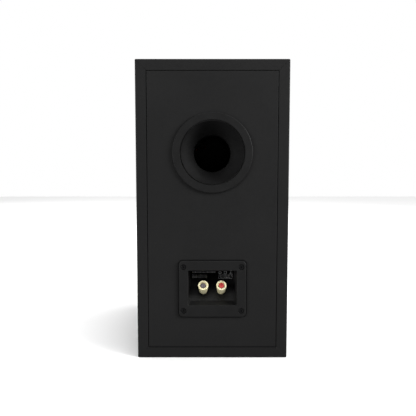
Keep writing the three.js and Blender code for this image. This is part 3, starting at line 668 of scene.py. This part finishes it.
def build_boards():
    """The four mitred boards, each cut from the same rounded block."""
    corner = {(x, z): (x * HALF_WIDTH, 0, HEIGHT * z) for x in (-1, 1) for z in (0, 1)}
    boards = {
        "left_side_panel": (Vector((-1, 0, 0)), [corner[-1, 0], corner[-1, 1]]),
        "right_side_panel": (Vector((1, 0, 0)), [corner[1, 0], corner[1, 1]]),
        "bottom_panel": (Vector((0, 0, -1)), [corner[-1, 0], corner[1, 0]]),
        "top_panel": (Vector((0, 0, 1)), [corner[-1, 1], corner[1, 1]]),
    }
    centre = Vector((0, 0, HEIGHT / 2))
    for name, (outward, corners) in boards.items():
        bm = rounded_cabinet()
        keep_behind(bm, (0, BAFFLE_BACK_Y, 0), (0, -1, 0))
        reach = abs((Vector(corners[0]) - centre).dot(outward)) - WALL
        planes = [(centre + outward * reach, -outward)]
        for point in corners:
            towards = Vector(point) - centre
            along = (towards - outward * towards.dot(outward)).normalized()
            planes.append((Vector(point), (along - outward).normalized()))
        for plane in planes:
            keep_behind(bm, *plane)
        ease_rear_edges(bm, planes[1:])
        dress(to_object(f"{name}_visual", bm), "cabinet", "black_vinyl", name)


def build_rear_panel():
    slit = Vector((PANEL_SLIT * MM, 0, PANEL_SLIT * MM))
    bm = box(panel_low + slit, panel_high - slit)
    rear_edges = [e for e in bm.edges if all(abs(v.co.y - panel_high.y) < NEAR for v in e.verts)]
    bevel(bm, rear_edges, PANEL_CHAMFER, 2)
    port_hole = rod(PORT_MOUTH_RADIUS + PORT_WALL + SEAT_GAP, -PANEL_CUT_DEPTH, OVERSHOOT, ROUND)
    wall = 2 * (CUP_WALL + SEAT_GAP)
    cup_hole = prism(
        rounded_rectangle(CUP_OPENING[0] + wall, CUP_OPENING[1] + wall, 1), -PANEL_CUT_DEPTH, OVERSHOOT,
    )
    gap = 2 * CUP_SHADOW_WIDTH
    shadow_gap = prism(
        rounded_rectangle(CUP_WIDTH + gap, CUP_HEIGHT + gap, CUP_CORNER + CUP_SHADOW_WIDTH),
        -CUP_SHADOW_DEPTH, OVERSHOOT,
    )
    flange_frame = CUP_FRAME @ Matrix.Translation((0, 0, -CUP_FLANGE_DROP * MM))
    pilots = [pilot_hole(name, CUP_SCREW, 0) for name in CUP_SCREWS]
    piece("rear_panel", bm, None, "cabinet", "black_vinyl", [
        cutter(port_hole, PORT_FRAME), cutter(cup_hole, CUP_FRAME), cutter(shadow_gap, flange_frame), *pilots,
    ])


def driver_hole(radius, rebate_radius, rebate_depth, place):
    return cutter(turned([
        (0, -BAFFLE_CUT_DEPTH), (radius, -BAFFLE_CUT_DEPTH), (radius, -rebate_depth),
        (rebate_radius, -rebate_depth), (rebate_radius, OVERSHOOT), (0, OVERSHOOT),
    ]), place)


def build_baffle():
    bm = rounded_cabinet()
    keep_behind(bm, (0, BAFFLE_BACK_Y, 0), (0, 1, 0))
    cutters = [
        driver_hole(WOOFER_RADIUS - WOOFER_BODY_STEP + 2 * SEAT_GAP, WOOFER_RADIUS + SEAT_GAP,
                    WOOFER_FLANGE_THICKNESS + SEAT_GAP, WOOFER_FRAME),
        driver_hole(TWEETER_RADIUS - TWEETER_BODY_STEP + 2 * SEAT_GAP, TWEETER_RADIUS + SEAT_GAP,
                    TWEETER_FLANGE_THICKNESS + SEAT_GAP, TWEETER_FRAME),
    ]
    cutters += [pilot_hole(name, DRIVER_SCREW, SEAT_GAP) for name in WOOFER_SCREWS + TWEETER_SCREWS]
    piece("front_baffle", bm, None, "cabinet", "black_paint", cutters)


# -------------------- screws


def screw_frame(node):
    """A screw's own frame: its axis out of the face that it holds, at that face."""
    low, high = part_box(node)
    middle = (low + high) / 2
    rear = middle.y > 0
    face_y = REAR_Y if rear else FRONT_Y
    turn = Matrix.Identity(4) if rear else Matrix.Rotation(math.pi, 4, "Z")
    return Matrix.Translation((middle.x, face_y, middle.z)) @ turn


def pilot_hole(node, size, slack):
    """The hole in a board that a screw's shank goes into, deeper than the screw by a slack."""
    return cutter(rod(size[2] + SEAT_GAP, -size[3] - slack, OVERSHOOT, PILOT_ROUND), screw_frame(node))


def cross_outline(half_length, half_width):
    a, b = half_length, half_width
    return [
        (a, b), (b, b), (b, a), (-b, a), (-b, b), (-a, b),
        (-a, -b), (-b, -b), (-b, -a), (b, -a), (b, -b), (a, -b),
    ]


def build_screw(node, size, face, turn):
    """A cross-head screw whose head lies just under its face, turned by its own angle."""
    head_radius, head_height, shank_radius, length = size
    top = face - SEAT_GAP
    under = top - head_height
    profile = fillet([
        (0, top), (head_radius * 0.7, top - 0.05), (head_radius, top - 0.3, 0.25), (head_radius, under, 0.15),
        (shank_radius, under), (shank_radius, face - length + shank_radius), (0, face - length),
    ], closed=False)
    place = screw_frame(node) @ Matrix.Rotation(turn, 4, "Y")
    wide = cross_outline(head_radius * RECESS_MOUTH[0], RECESS_MOUTH[1])
    narrow = cross_outline(head_radius * RECESS_FLOOR[0], RECESS_FLOOR[1])
    recess = loft([
        [(x, top + 0.4, z) for x, z in wide], [(x, top - RECESS_DEPTH, z) for x, z in narrow],
    ])
    piece(node, turned(profile, SMALL_ROUND), place, "cabinet", "black_steel", [cutter(recess, place)])


def build_screws():
    """All the screws, each with its cross at an angle of its own."""
    for i in range(1, 5):
        build_screw(f"terminal_screw_{i}", CUP_SCREW, CUP_PROUD, 0.35 + 1.1 * i)
        build_screw(f"woofer_screw_{i}", DRIVER_SCREW, 0, 0.2 + 0.9 * i)
    for i in range(1, 4):
        build_screw(f"tweeter_screw_{i}", DRIVER_SCREW, 0, 0.5 + 1.3 * i)


def counterbore(node, size, face):
    """The hole for a screw, with a seat for its head and a chamfer at its mouth."""
    head_radius, head_height, shank_radius, length = size
    mouth = head_radius + COUNTERBORE_SLACK
    floor = face - head_height - 2 * SEAT_GAP
    above = face + 2
    profile = [
        (0, face - length), (shank_radius + SEAT_GAP, face - length), (shank_radius + SEAT_GAP, floor),
        (mouth, floor), (mouth, face - COUNTERBORE_CHAMFER),
        (mouth + COUNTERBORE_CHAMFER, face), (mouth + COUNTERBORE_CHAMFER, above), (0, above),
    ]
    return cutter(turned(profile, SMALL_ROUND), screw_frame(node))


# -------------------- reflex port


def flare_curve(steps):
    """The flare's inner surface: one shallow arc from the throat to the mouth."""
    rise = PORT_MOUTH_RADIUS - PORT_THROAT_RADIUS
    start = math.atan2(rise, PORT_FLARE_DEPTH) - PORT_FLARE_BEND
    radius = math.hypot(rise, PORT_FLARE_DEPTH) / 2 / math.sin(PORT_FLARE_BEND)
    stretch = 1 + PORT_PROUD / PORT_FLARE_DEPTH
    points = []
    for i in range(steps + 1):
        angle = start + 2 * PORT_FLARE_BEND * i / steps
        points.append((
            PORT_THROAT_RADIUS + radius * (math.cos(start) - math.cos(angle)),
            -PORT_FLARE_DEPTH + stretch * radius * (math.sin(angle) - math.sin(start)),
        ))
    return points


def build_port():
    top = PORT_PROUD
    mouth = PORT_MOUTH_RADIUS
    spigot_radius = PORT_THROAT_RADIUS + PORT_WALL
    body = mouth + PORT_WALL
    body_end = -1
    groove_floor = top - PORT_GROOVE_DEPTH
    groove_outer = mouth + PORT_GROOVE_WIDTH
    inner = flare_curve(24)[:-1]
    outer = [(r + PORT_WALL, h) for r, h in flare_curve(12)[-2:0:-1] if h < body_end - 0.2]
    rim = fillet([
        (mouth - 0.2, top - 0.25, 0.15), (mouth, groove_floor, 0.15),
        (groove_outer, groove_floor, 0.15), (groove_outer + 0.1, top, 0.25),
        (PORT_FLANGE_RADIUS, top, PORT_EDGE_RADIUS), (PORT_FLANGE_RADIUS, SEAT_GAP, 0.15),
        (body, SEAT_GAP), (body, body_end),
    ], closed=False, steps=6)
    spigot = [(spigot_radius, -PORT_FLARE_DEPTH), (spigot_radius, PORT_SPIGOT_END)]
    profile = [(PORT_THROAT_RADIUS, PORT_SPIGOT_END)] + inner + rim + outer + spigot
    piece("port_flare", turned(profile, FINE_ROUND), PORT_FRAME, "cabinet", "black_plastic")

    tube_radius = spigot_radius + SEAT_GAP
    start = (tube_low.y - REAR_Y) / MM
    end = (tube_high.y - REAR_Y) / MM
    tube = turned(fillet([
        (tube_radius, start, 0.3), (tube_radius + PORT_TUBE_WALL, start, 0.3),
        (tube_radius + PORT_TUBE_WALL, end, 0.3), (tube_radius, end, 0.3),
    ], steps=2))
    piece("port_tube", tube, PORT_FRAME, "cabinet", "card_tube")


# -------------------- terminal cup


def plate_depth(z, lift=0.0):
    """The local y of the sloping plate's face, lifted along its normal, at a local z."""
    return PLATE_FOOT.y + (lift - (z - PLATE_FOOT.z) * math.sin(PLATE_TILT)) / math.cos(PLATE_TILT)


def cup_loops():
    """Loops from the back of the sloping plate, out round the flange and in to the plate's face."""
    def flat(width, height, corner, y, drop=0.0):
        return [(x, y, z - drop) for x, z in rounded_rectangle(width, height, corner)]

    def on_plate(inset, lift, corner):
        width = CUP_OPENING[0] - 2 * CUP_DRAFT - 2 * inset
        height = CUP_OPENING[1] - 2 * CUP_DRAFT - 2 * inset
        return [(x, plate_depth(z, lift), z) for x, z in rounded_rectangle(width, height, corner)]

    width, height = CUP_OPENING
    back_w, back_h = width + 2 * CUP_WALL, height + 2 * CUP_WALL
    foot_w, foot_h = CUP_WIDTH - 2 * CUP_FOOT_INSET, CUP_HEIGHT - 2 * CUP_FOOT_INSET
    loops = [
        on_plate(-CUP_WALL, -CUP_WALL, CUP_BACK_CORNER),
        flat(back_w, back_h, CUP_BACK_CORNER, 0), flat(back_w, back_h, CUP_BACK_CORNER, SEAT_GAP),
        flat(foot_w, foot_h, CUP_CORNER - CUP_FOOT_INSET, SEAT_GAP, CUP_FLANGE_DROP),
        flat(CUP_WIDTH, CUP_HEIGHT, CUP_CORNER, CUP_FOOT_HEIGHT, CUP_FLANGE_DROP),
    ]
    edge = CUP_EDGE_RADIUS
    for angle in quarter_turn(5):
        inset = edge * (1 - math.cos(angle))
        loops.append(flat(CUP_WIDTH - 2 * inset, CUP_HEIGHT - 2 * inset, CUP_CORNER - inset,
                          CUP_PROUD - edge + edge * math.sin(angle), CUP_FLANGE_DROP))
    lip = CUP_LIP_RADIUS
    for angle in quarter_turn(4):
        grow = lip * (1 - math.sin(angle))
        loops.append(flat(width + 2 * grow, height + 2 * grow, CUP_OPENING_CORNER + grow,
                          CUP_PROUD - lip + lip * math.cos(angle)))
    loops.append(flat(width, height, CUP_OPENING_CORNER, 0))
    for angle in quarter_turn(3):
        loops.append(on_plate(CUP_FILLET * (1 - math.cos(angle)), CUP_FILLET * (1 - math.sin(angle)),
                              CUP_OPENING_CORNER))
    return loops


def post_frame(side):
    return PLATE_FRAME @ Matrix.Translation((side * POST_SPACING / 2 * MM, 0, POST_FROM_SILL * MM))


def build_cup():
    cutters = [counterbore(name, CUP_SCREW, CUP_PROUD) for name in CUP_SCREWS]
    for side in (-1, 1):
        cutters.append(cutter(rod(STUD_RADIUS + SEAT_GAP, -CUP_WALL - 3, 3), post_frame(side)))
    piece("terminal_cup", loft(cup_loops()), CUP_FRAME, "cabinet", "black_plastic", cutters)


def build_label():
    """Plain printed bars and marks where a rating plate has its lettering."""
    ink_low, ink_high = 0.01, 0.05

    def bar(x0, x1, z0, z1):
        return box((x0, ink_low, z0), (x1, ink_high, z1))

    def outline(x0, x1, z0, z1, line):
        return [
            bar(x0, x1, z0, z0 + line), bar(x0, x1, z1 - line, z1),
            bar(x0, x0 + line, z0 + line, z1 - line), bar(x1 - line, x1, z0 + line, z1 - line),
        ]

    def row(start, end, z, height, dashes):
        """A line of dashes with even gaps, standing for a line of text."""
        bars, x, i = [], start, 0
        while x - dashes[i % len(dashes)] > end:
            length = dashes[i % len(dashes)]
            bars.append(bar(x - length, x, z, z + height))
            x -= length + 0.4
            i += 1
        return bars

    marks = row(21.6, -4.6, 32.5, 1.9, (1.1, 0.8, 1.5, 0.9, 1.2, 2.0, 0.8, 1.4))
    for z in (29.7, 28.1, 26.5):
        marks += row(21.6, 4.4, z, 0.7, (1.6, 0.9, 2.2, 1.2, 2.8))
    marks += outline(-21.8, -6.8, 25.9, 30.5, 0.3)
    marks += row(-7.8, -21.0, 28.6, 0.7, (1.6, 1.1, 2.0)) + row(-8.6, -20.2, 27.1, 0.6, (2.2, 1.0, 1.4))
    ring = turned([(0.9, ink_low), (1.9, ink_low), (1.9, ink_high), (0.9, ink_high)], 32)
    ring.transform(Matrix.Translation((-8.6, 0, 32.9)))
    marks += [ring, *outline(-16.2, -12.6, 31.1, 34.7, 0.8)]
    marks += [bar(-21.6, -18.8, 31.1, 32.1), bar(-20.8, -19.6, 32.5, 34.6)]
    obj = to_object("rating_print", merged(marks), PLATE_FRAME)
    obj.data.materials.append(LABEL_INK)
    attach(obj, "cabinet")


# -------------------- binding posts

WASHER_FOOT = 2 * SEAT_GAP + STUD_SHOULDER_HEIGHT
WASHER_TOP = WASHER_FOOT + WASHER_THICKNESS
KNOB_FOOT = WASHER_TOP + SEAT_GAP
BORE_RADIUS = STUD_RADIUS + SEAT_GAP


def build_stud(pole, place):
    profile = fillet([
        (0, -STUD_TAIL), (STUD_RADIUS, -STUD_TAIL, 0.4), (STUD_RADIUS, SEAT_GAP),
        (STUD_SHOULDER_RADIUS, SEAT_GAP, 0.2), (STUD_SHOULDER_RADIUS, SEAT_GAP + STUD_SHOULDER_HEIGHT, 0.3),
        (STUD_RADIUS, SEAT_GAP + STUD_SHOULDER_HEIGHT), (STUD_RADIUS, STUD_HEIGHT, 0.35),
        (BANANA_BORE_RADIUS, STUD_HEIGHT, 0.3), (BANANA_BORE_RADIUS, STUD_HEIGHT - BANANA_BORE_DEPTH),
        (0, STUD_HEIGHT - BANANA_BORE_DEPTH - 0.8),
    ], closed=False)
    wire_hole = rod(WIRE_HOLE_RADIUS, -2 * STUD_RADIUS, 2 * STUD_RADIUS, 32)
    wire_hole.transform(Matrix.Translation((0, WIRE_HOLE_HEIGHT, 0)) @ Matrix.Rotation(math.pi / 2, 4, "Z"))
    piece(f"{pole}_stud", turned(profile, SMALL_ROUND), place, "cabinet", "gold_plate",
          [cutter(wire_hole, place)])


def build_knob(pole, place):
    top = KNOB_FOOT + KNOB_LENGTH
    profile = fillet([
        (BORE_RADIUS, KNOB_FOOT, 0.2), (KNOB_FOOT_RADIUS, KNOB_FOOT, 0.9),
        (KNOB_RADIUS, top, 0.45), (BORE_RADIUS, top),
    ], steps=6)
    sides = 6
    socket_radius = KNOB_SOCKET_ACROSS_CORNERS / 2
    socket = rod(socket_radius, top - KNOB_SOCKET_DEPTH, top + 2, sides)
    mouth = turned([
        (0, top - 0.35), (socket_radius - 0.3, top - 0.35), (socket_radius + 0.35, top + 0.3), (0, top + 0.3),
    ], sides)
    piece(f"{pole}_knob", turned(profile, KNOB_ROUND), place, f"{pole}_knob", "gold_plate",
          [cutter(socket, place), cutter(mouth, place)])


def build_posts():
    for pole, side, finish in (("negative", 1, "grey_plastic"), ("positive", -1, "red_plastic")):
        place = post_frame(side)
        build_stud(pole, place)
        washer = turned(fillet([
            (BORE_RADIUS, WASHER_FOOT, 0.1), (WASHER_RADIUS, WASHER_FOOT, 0.2),
            (WASHER_RADIUS, WASHER_TOP, 0.2), (BORE_RADIUS, WASHER_TOP, 0.1),
        ], steps=2), SMALL_ROUND)
        piece(f"{pole}_clamp_washer", washer, place, f"{pole}_clamp", "gold_plate")
        build_knob(pole, place)
        foot = STUD_HEIGHT + SEAT_GAP
        pin_radius = BANANA_BORE_RADIUS - SEAT_GAP
        cap = turned(fillet([
            (0, foot - CAP_PIN_LENGTH), (pin_radius, foot - CAP_PIN_LENGTH, 0.5), (pin_radius, foot),
            (CAP_HEAD_RADIUS, foot, 0.15), (CAP_HEAD_RADIUS, foot + CAP_HEAD_HEIGHT, 0.5),
            (1.1, foot + CAP_HEAD_HEIGHT, 0.3), (0.7, foot + CAP_HEAD_HEIGHT - 0.5, 0.2),
            (0, foot + CAP_HEAD_HEIGHT - 0.55),
        ], closed=False), SMALL_ROUND)
        piece(f"{pole}_banana_cap", cap, place, f"{pole}_cap", finish)


# -------------------- woofer

LEDGE_RADIUS = WOOFER_RADIUS - WOOFER_RIM_WIDTH
BASKET_RADIUS = WOOFER_RADIUS - WOOFER_BODY_STEP
ROLL_OUTER = BASKET_RADIUS - BASKET_WALL + 0.6
ROLL_INNER = ROLL_OUTER - SURROUND_ROLL_WIDTH
SURROUND_TOP = -WOOFER_LEDGE_DEPTH + SEAT_GAP + SURROUND_THICKNESS
CONE_RIM_TOP = -WOOFER_LEDGE_DEPTH
CONE_RIM_INNER = ROLL_INNER - SURROUND_LIP_WIDTH
NECK_RADIUS = COIL_INNER_RADIUS + FORMER_THICKNESS + SEAT_GAP
NECK_TOP = CONE_RIM_TOP - CONE_DEPTH


def cone_face(radius):
    """The height of the cone's front at a radius: a straight cone that sags a little."""
    share = (radius - NECK_RADIUS) / (CONE_RIM_INNER - NECK_RADIUS)
    return NECK_TOP + share * CONE_DEPTH - 4 * CONE_SAG * share * (1 - share)


def flex(obj):
    """Bakes the placement of a ring, which sits between the cabinet at its outer radius and what moves at its
    inner one, into its mesh, and reads out its points, which nothing then uses.
    """
    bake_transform(obj)
    count = len(obj.data.vertices)
    points = np.zeros(count * 3)
    obj.data.vertices.foreach_get("co", points)
    points = points.reshape(-1, 3)


def build_basket():
    shelf_outer = BASKET_SHELF_RADIUS + BASKET_SHELF_WIDTH
    shelf_under = -BASKET_SHELF_DEPTH - BASKET_WALL
    back = -BASKET_BASE_DEPTH - BASKET_WALL
    profile = fillet([
        (WOOFER_RADIUS, 0, 0.9), (WOOFER_RADIUS, -WOOFER_FLANGE_THICKNESS, 0.3),
        (BASKET_RADIUS, -WOOFER_FLANGE_THICKNESS, 0.8), (BASKET_RADIUS, -BASKET_NECK_DEPTH, 3),
        (shelf_outer + BASKET_WALL, shelf_under, 1.5), (BASKET_SHELF_RADIUS + BASKET_WALL, shelf_under, 0.8),
        (BASKET_SHELF_RADIUS + BASKET_WALL, back, 1), (NECK_RADIUS + 2, back, 0.3),
        (NECK_RADIUS + 2, -BASKET_BASE_DEPTH, 0.3), (BASKET_SHELF_RADIUS, -BASKET_BASE_DEPTH, 0.8),
        (BASKET_SHELF_RADIUS, -BASKET_SHELF_DEPTH, 0.5), (shelf_outer, -BASKET_SHELF_DEPTH, 0.8),
        (BASKET_RADIUS - BASKET_WALL, -BASKET_NECK_DEPTH + BASKET_WALL / 2, 3),
        (BASKET_RADIUS - BASKET_WALL, -WOOFER_LEDGE_DEPTH, 0.3),
        (LEDGE_RADIUS, -WOOFER_LEDGE_DEPTH, 0.15), (LEDGE_RADIUS, 0, 0.5),
    ])
    cutters = [counterbore(name, DRIVER_SCREW, 0) for name in WOOFER_SCREWS]
    # Each window's cutter starts well inside the shelf's edge, because one that starts level with it
    # leaves stray faces.
    reach = (shelf_outer - 2, WOOFER_RADIUS + 3)
    top = -WOOFER_FLANGE_THICKNESS - BASKET_RIB
    middle = (top + BASKET_SILL - BASKET_SHELF_DEPTH) / 2
    outline = rounded_rectangle(BASKET_WINDOW_WIDTH, top + BASKET_SHELF_DEPTH - BASKET_SILL, 4)
    for i in range(BASKET_WINDOWS):
        window = loft([[(x, middle + y, z) for x, y in outline] for z in reach])
        angle = math.pi / 2 + 2 * math.pi * i / BASKET_WINDOWS
        window.transform(Matrix.Rotation(angle, 4, "Y"))
        cutters.append(cutter(window, WOOFER_FRAME))
    piece("woofer_basket", turned(profile), WOOFER_FRAME, "cabinet", "black_steel", cutters)


def build_surround():
    middle = (ROLL_OUTER + ROLL_INNER) / 2
    half = SURROUND_ROLL_WIDTH / 2
    bottom = SURROUND_TOP - SURROUND_THICKNESS
    outer = LEDGE_RADIUS - SEAT_GAP
    profile = [
        (outer, bottom), (outer, SURROUND_TOP),
        *arc((middle, SURROUND_TOP), (half, half), 0, math.pi, 20),
        (CONE_RIM_INNER, SURROUND_TOP), (CONE_RIM_INNER, bottom),
        *arc((middle, bottom), (half - SURROUND_THICKNESS, half), math.pi, 0, 20),
    ]
    obj = to_object("woofer_surround_visual", turned(profile), WOOFER_FRAME)
    dress(obj, None, "rubber", "woofer_surround")
    flex(obj)


def build_spider():
    rest = -BASKET_SHELF_DEPTH + SEAT_GAP
    start = NECK_RADIUS + SPIDER_INNER_LAND
    end = BASKET_SHELF_RADIUS - SPIDER_OUTER_LAND
    steps = SPIDER_WAVES * 12
    wave = []
    for i in range(steps + 1):
        height = rest + SPIDER_WAVE_HEIGHT * math.sin(2 * math.pi * SPIDER_WAVES * i / steps)
        wave.append((start + (end - start) * i / steps, height))
    under = [(NECK_RADIUS, rest), *wave, (BASKET_SHELF_RADIUS + BASKET_SHELF_WIDTH - 2 * SEAT_GAP, rest)]
    over = [(r, h + SPIDER_THICKNESS) for r, h in reversed(under)]
    obj = to_object("woofer_spider_visual", turned(under + over), WOOFER_FRAME)
    dress(obj, None, "spider_cloth", "woofer_spider")
    flex(obj)


def build_cone():
    rim = ROLL_INNER + CONE_RIM_OVERLAP
    steps = 16
    radii = [NECK_RADIUS + (CONE_RIM_INNER - NECK_RADIUS) * i / steps for i in range(steps + 1)]
    face = [(r, cone_face(r)) for r in radii]
    back = [(r, h - 1.3 * CONE_THICKNESS) for r, h in reversed(face)]
    profile = face + [(rim, CONE_RIM_TOP), (rim, CONE_RIM_TOP - CONE_THICKNESS)] + back
    piece("woofer_cone", turned(profile), WOOFER_FRAME, "woofer_moving", "cone_paper")

    rim_top = cone_face(DUST_CAP_RADIUS) + DUST_CAP_LIFT + DUST_CAP_THICKNESS
    shares = [i / 12 for i in range(13)]
    outside = [(DUST_CAP_RADIUS * s, rim_top + DUST_CAP_RISE * (1 - s * s)) for s in shares]
    inside = [(r, h - DUST_CAP_THICKNESS) for r, h in reversed(outside)]
    piece("woofer_dust_cap", turned(outside + inside), WOOFER_FRAME, "woofer_moving", "cone_paper")


# -------------------- tweeter

WAVEGUIDE_FOOT = -WAVEGUIDE_DEPTH - WAVEGUIDE_BACK
DOME_LIP_TOP = WAVEGUIDE_FOOT - DOME_TRAVEL_GAP


def build_faceplate():
    mouth = WAVEGUIDE_MOUTH_RADIUS
    radii = (mouth - WAVEGUIDE_THROAT_RADIUS, WAVEGUIDE_DEPTH - WAVEGUIDE_LIP)
    flare = arc((mouth, -WAVEGUIDE_DEPTH), radii, math.pi, math.pi / 2, 24)
    hub = TWEETER_RADIUS - TWEETER_BODY_STEP
    profile = fillet([
        (WAVEGUIDE_THROAT_RADIUS, WAVEGUIDE_FOOT, 0.3), *flare,
        (mouth + WAVEGUIDE_LIP, 0, 0.35),
        (TWEETER_RADIUS, 0, 0.8), (TWEETER_RADIUS, -TWEETER_FLANGE_THICKNESS, 0.3),
        (hub, -TWEETER_FLANGE_THICKNESS, 0.5), (hub - WAVEGUIDE_TAPER, WAVEGUIDE_FOOT, 0.8),
    ])
    cutters = [counterbore(name, DRIVER_SCREW, 0) for name in TWEETER_SCREWS]
    piece("tweeter_faceplate", turned(profile), TWEETER_FRAME, "cabinet", "black_plastic", cutters)


def build_dome():
    steps = 12
    middle = DOME_RADIUS + DOME_ROLL_WIDTH / 2
    lip = DOME_RADIUS + DOME_ROLL_WIDTH + DOME_LIP_WIDTH

    def layer(inset):
        top = DOME_LIP_TOP - inset
        dome = [(DOME_RADIUS * i / steps, top + DOME_RISE * (1 - (i / steps) ** 2)) for i in range(steps + 1)]
        roll = arc((middle, top), (DOME_ROLL_WIDTH / 2, DOME_ROLL_WIDTH / 2), math.pi, 0, 10)[1:]
        return dome + roll + [(lip, top)]

    profile = layer(0) + list(reversed(layer(DOME_THICKNESS)))
    obj = to_object("tweeter_dome_visual", turned(profile, 72), TWEETER_FRAME)
    dress(obj, None, "dome_silk", "tweeter_dome")
    flex(obj)


# -------------------- carried-over CAD nodes


def paint_cad_nodes():
    """Each CAD node that still shows takes the material of its own slot."""
    slots = {entry["node"]: entry["material_slot"] for entry in frame["record"]["subparts"]}
    for name, node in frame["nodes"].items():
        if node.hide_render:
            continue
        node.data.materials.clear()
        node.data.materials.append(MATERIALS[slots[name]])


# -------------------- floor, lights and camera

ROOM_LIGHT = 0.03
BACKDROP = 1.0
FLOOR_SHADE = 0.95
FLOOR_BOUNCE = 0.16
FLOOR_REACH = 3

LIGHT_TARGET = (0, 0, 0.15)
LIGHT_SIZE = 0.9
KEY_POWER = 34
FILL_POWER = 14.5
TOP_POWER = 7
SUN_STRENGTH = 2.8
SUN_SPREAD = math.radians(50)
GLINT_SIZE = 0.6
GLINT_POWER = 25

# Solved from how the cabinet's outline narrows: distances in metres, and the lens in millimetres.
CAMERA_LENS = 40.65
CAMERA_DISTANCE = 0.476
CAMERA_X = 0.0045
CAMERA_Z = 0.1939
CAMERA_PITCH = math.radians(4.5)


def seen_or_lit(nodes, links, lit, seen):
    """A value that is one thing to the camera and another to every other ray."""
    path = nodes.new("ShaderNodeLightPath")
    value = nodes.new("ShaderNodeMapRange")
    value.inputs["To Min"].default_value = lit
    value.inputs["To Max"].default_value = seen
    links.new(path.outputs["Is Camera Ray"], value.inputs["Value"])
    return value.outputs["Result"]


def build_stage():
    floor = to_object("floor", box((-FLOOR_REACH, -FLOOR_REACH, -0.01), (FLOOR_REACH, FLOOR_REACH, 0)))
    surface = Surface("floor", (0.82, 0.82, 0.82), 0.8, specular=0.1)
    grey = seen_or_lit(surface.nodes, surface.links, FLOOR_BOUNCE, FLOOR_SHADE)
    surface.links.new(grey, surface.shader.inputs["Base Color"])
    floor.data.materials.append(surface.material)

    world = bpy.context.scene.world or bpy.data.worlds.new("studio")
    bpy.context.scene.world = world
    world.use_nodes = True
    nodes, links = world.node_tree.nodes, world.node_tree.links
    background = nodes["Background"]
    background.inputs["Color"].default_value = (1, 1, 1, 1)
    links.new(seen_or_lit(nodes, links, ROOM_LIGHT, BACKDROP), background.inputs["Strength"])
    bpy.context.scene.view_settings.view_transform = "Standard"


def add_light(name, place, size, power):
    """A square light that faces the speaker's middle."""
    light = bpy.data.lights.new(name, "AREA")
    light.shape = "SQUARE"
    light.size = size
    light.energy = power
    obj = bpy.data.objects.new(name, light)
    bpy.context.scene.collection.objects.link(obj)
    obj.location = place
    obj.rotation_euler = (Vector(LIGHT_TARGET) - Vector(place)).to_track_quat("-Z", "Y").to_euler()
    return obj


def lights_only(light, names):
    """Keeps a light to the named objects."""
    lit = bpy.data.collections.new(f"lit_by_{light.name}")
    for name in names:
        lit.objects.link(bpy.data.objects[name])
    light.light_linking.receiver_collection = lit


def build_lights():
    for name, side in (("rear", 1), ("front", -1)):
        add_light(f"{name}_key", (-1.8 * side, 0.95 * side, 0.95), LIGHT_SIZE, KEY_POWER)
        add_light(f"{name}_fill", (1.7 * side, 1.2 * side, 0.35), LIGHT_SIZE, FILL_POWER)
        add_light(f"{name}_top", (0, 1.2 * side, 1.8), LIGHT_SIZE, TOP_POWER)
    sun = bpy.data.objects.new("floor_sun", bpy.data.lights.new("floor_sun", "SUN"))
    sun.data.energy = SUN_STRENGTH
    sun.data.angle = SUN_SPREAD
    sun.rotation_euler = Vector((-0.35, 0.1, 1)).to_track_quat("Z", "Y").to_euler()
    bpy.context.scene.collection.objects.link(sun)
    lights_only(sun, ["floor"])
    # What the gold mirrors from the pale room below it.
    glint = add_light("post_glint", (0, 1.8, 0.12), GLINT_SIZE, GLINT_POWER)
    lights_only(glint, ["negative_knob_visual", "positive_knob_visual"])


def build_camera():
    """Behind the speaker, a little above its middle and off its centre line, looking slightly down."""
    data = bpy.data.cameras.new("camera")
    data.sensor_width = 36
    data.lens = CAMERA_LENS
    data.clip_start = 0.01
    camera = bpy.data.objects.new("camera", data)
    bpy.context.scene.collection.objects.link(camera)
    camera.location = (CAMERA_X, REAR_Y + CAMERA_DISTANCE, CAMERA_Z)
    camera.rotation_euler = (math.pi / 2 - CAMERA_PITCH, 0, math.pi)
    bpy.context.scene.camera = camera


build_camera()
build_stage()
build_boards()
build_rear_panel()
build_baffle()
build_port()
build_cup()
build_label()
build_posts()
build_screws()
build_basket()
build_surround()
build_spider()
build_cone()
build_faceplate()
build_dome()
paint_cad_nodes()
build_lights()
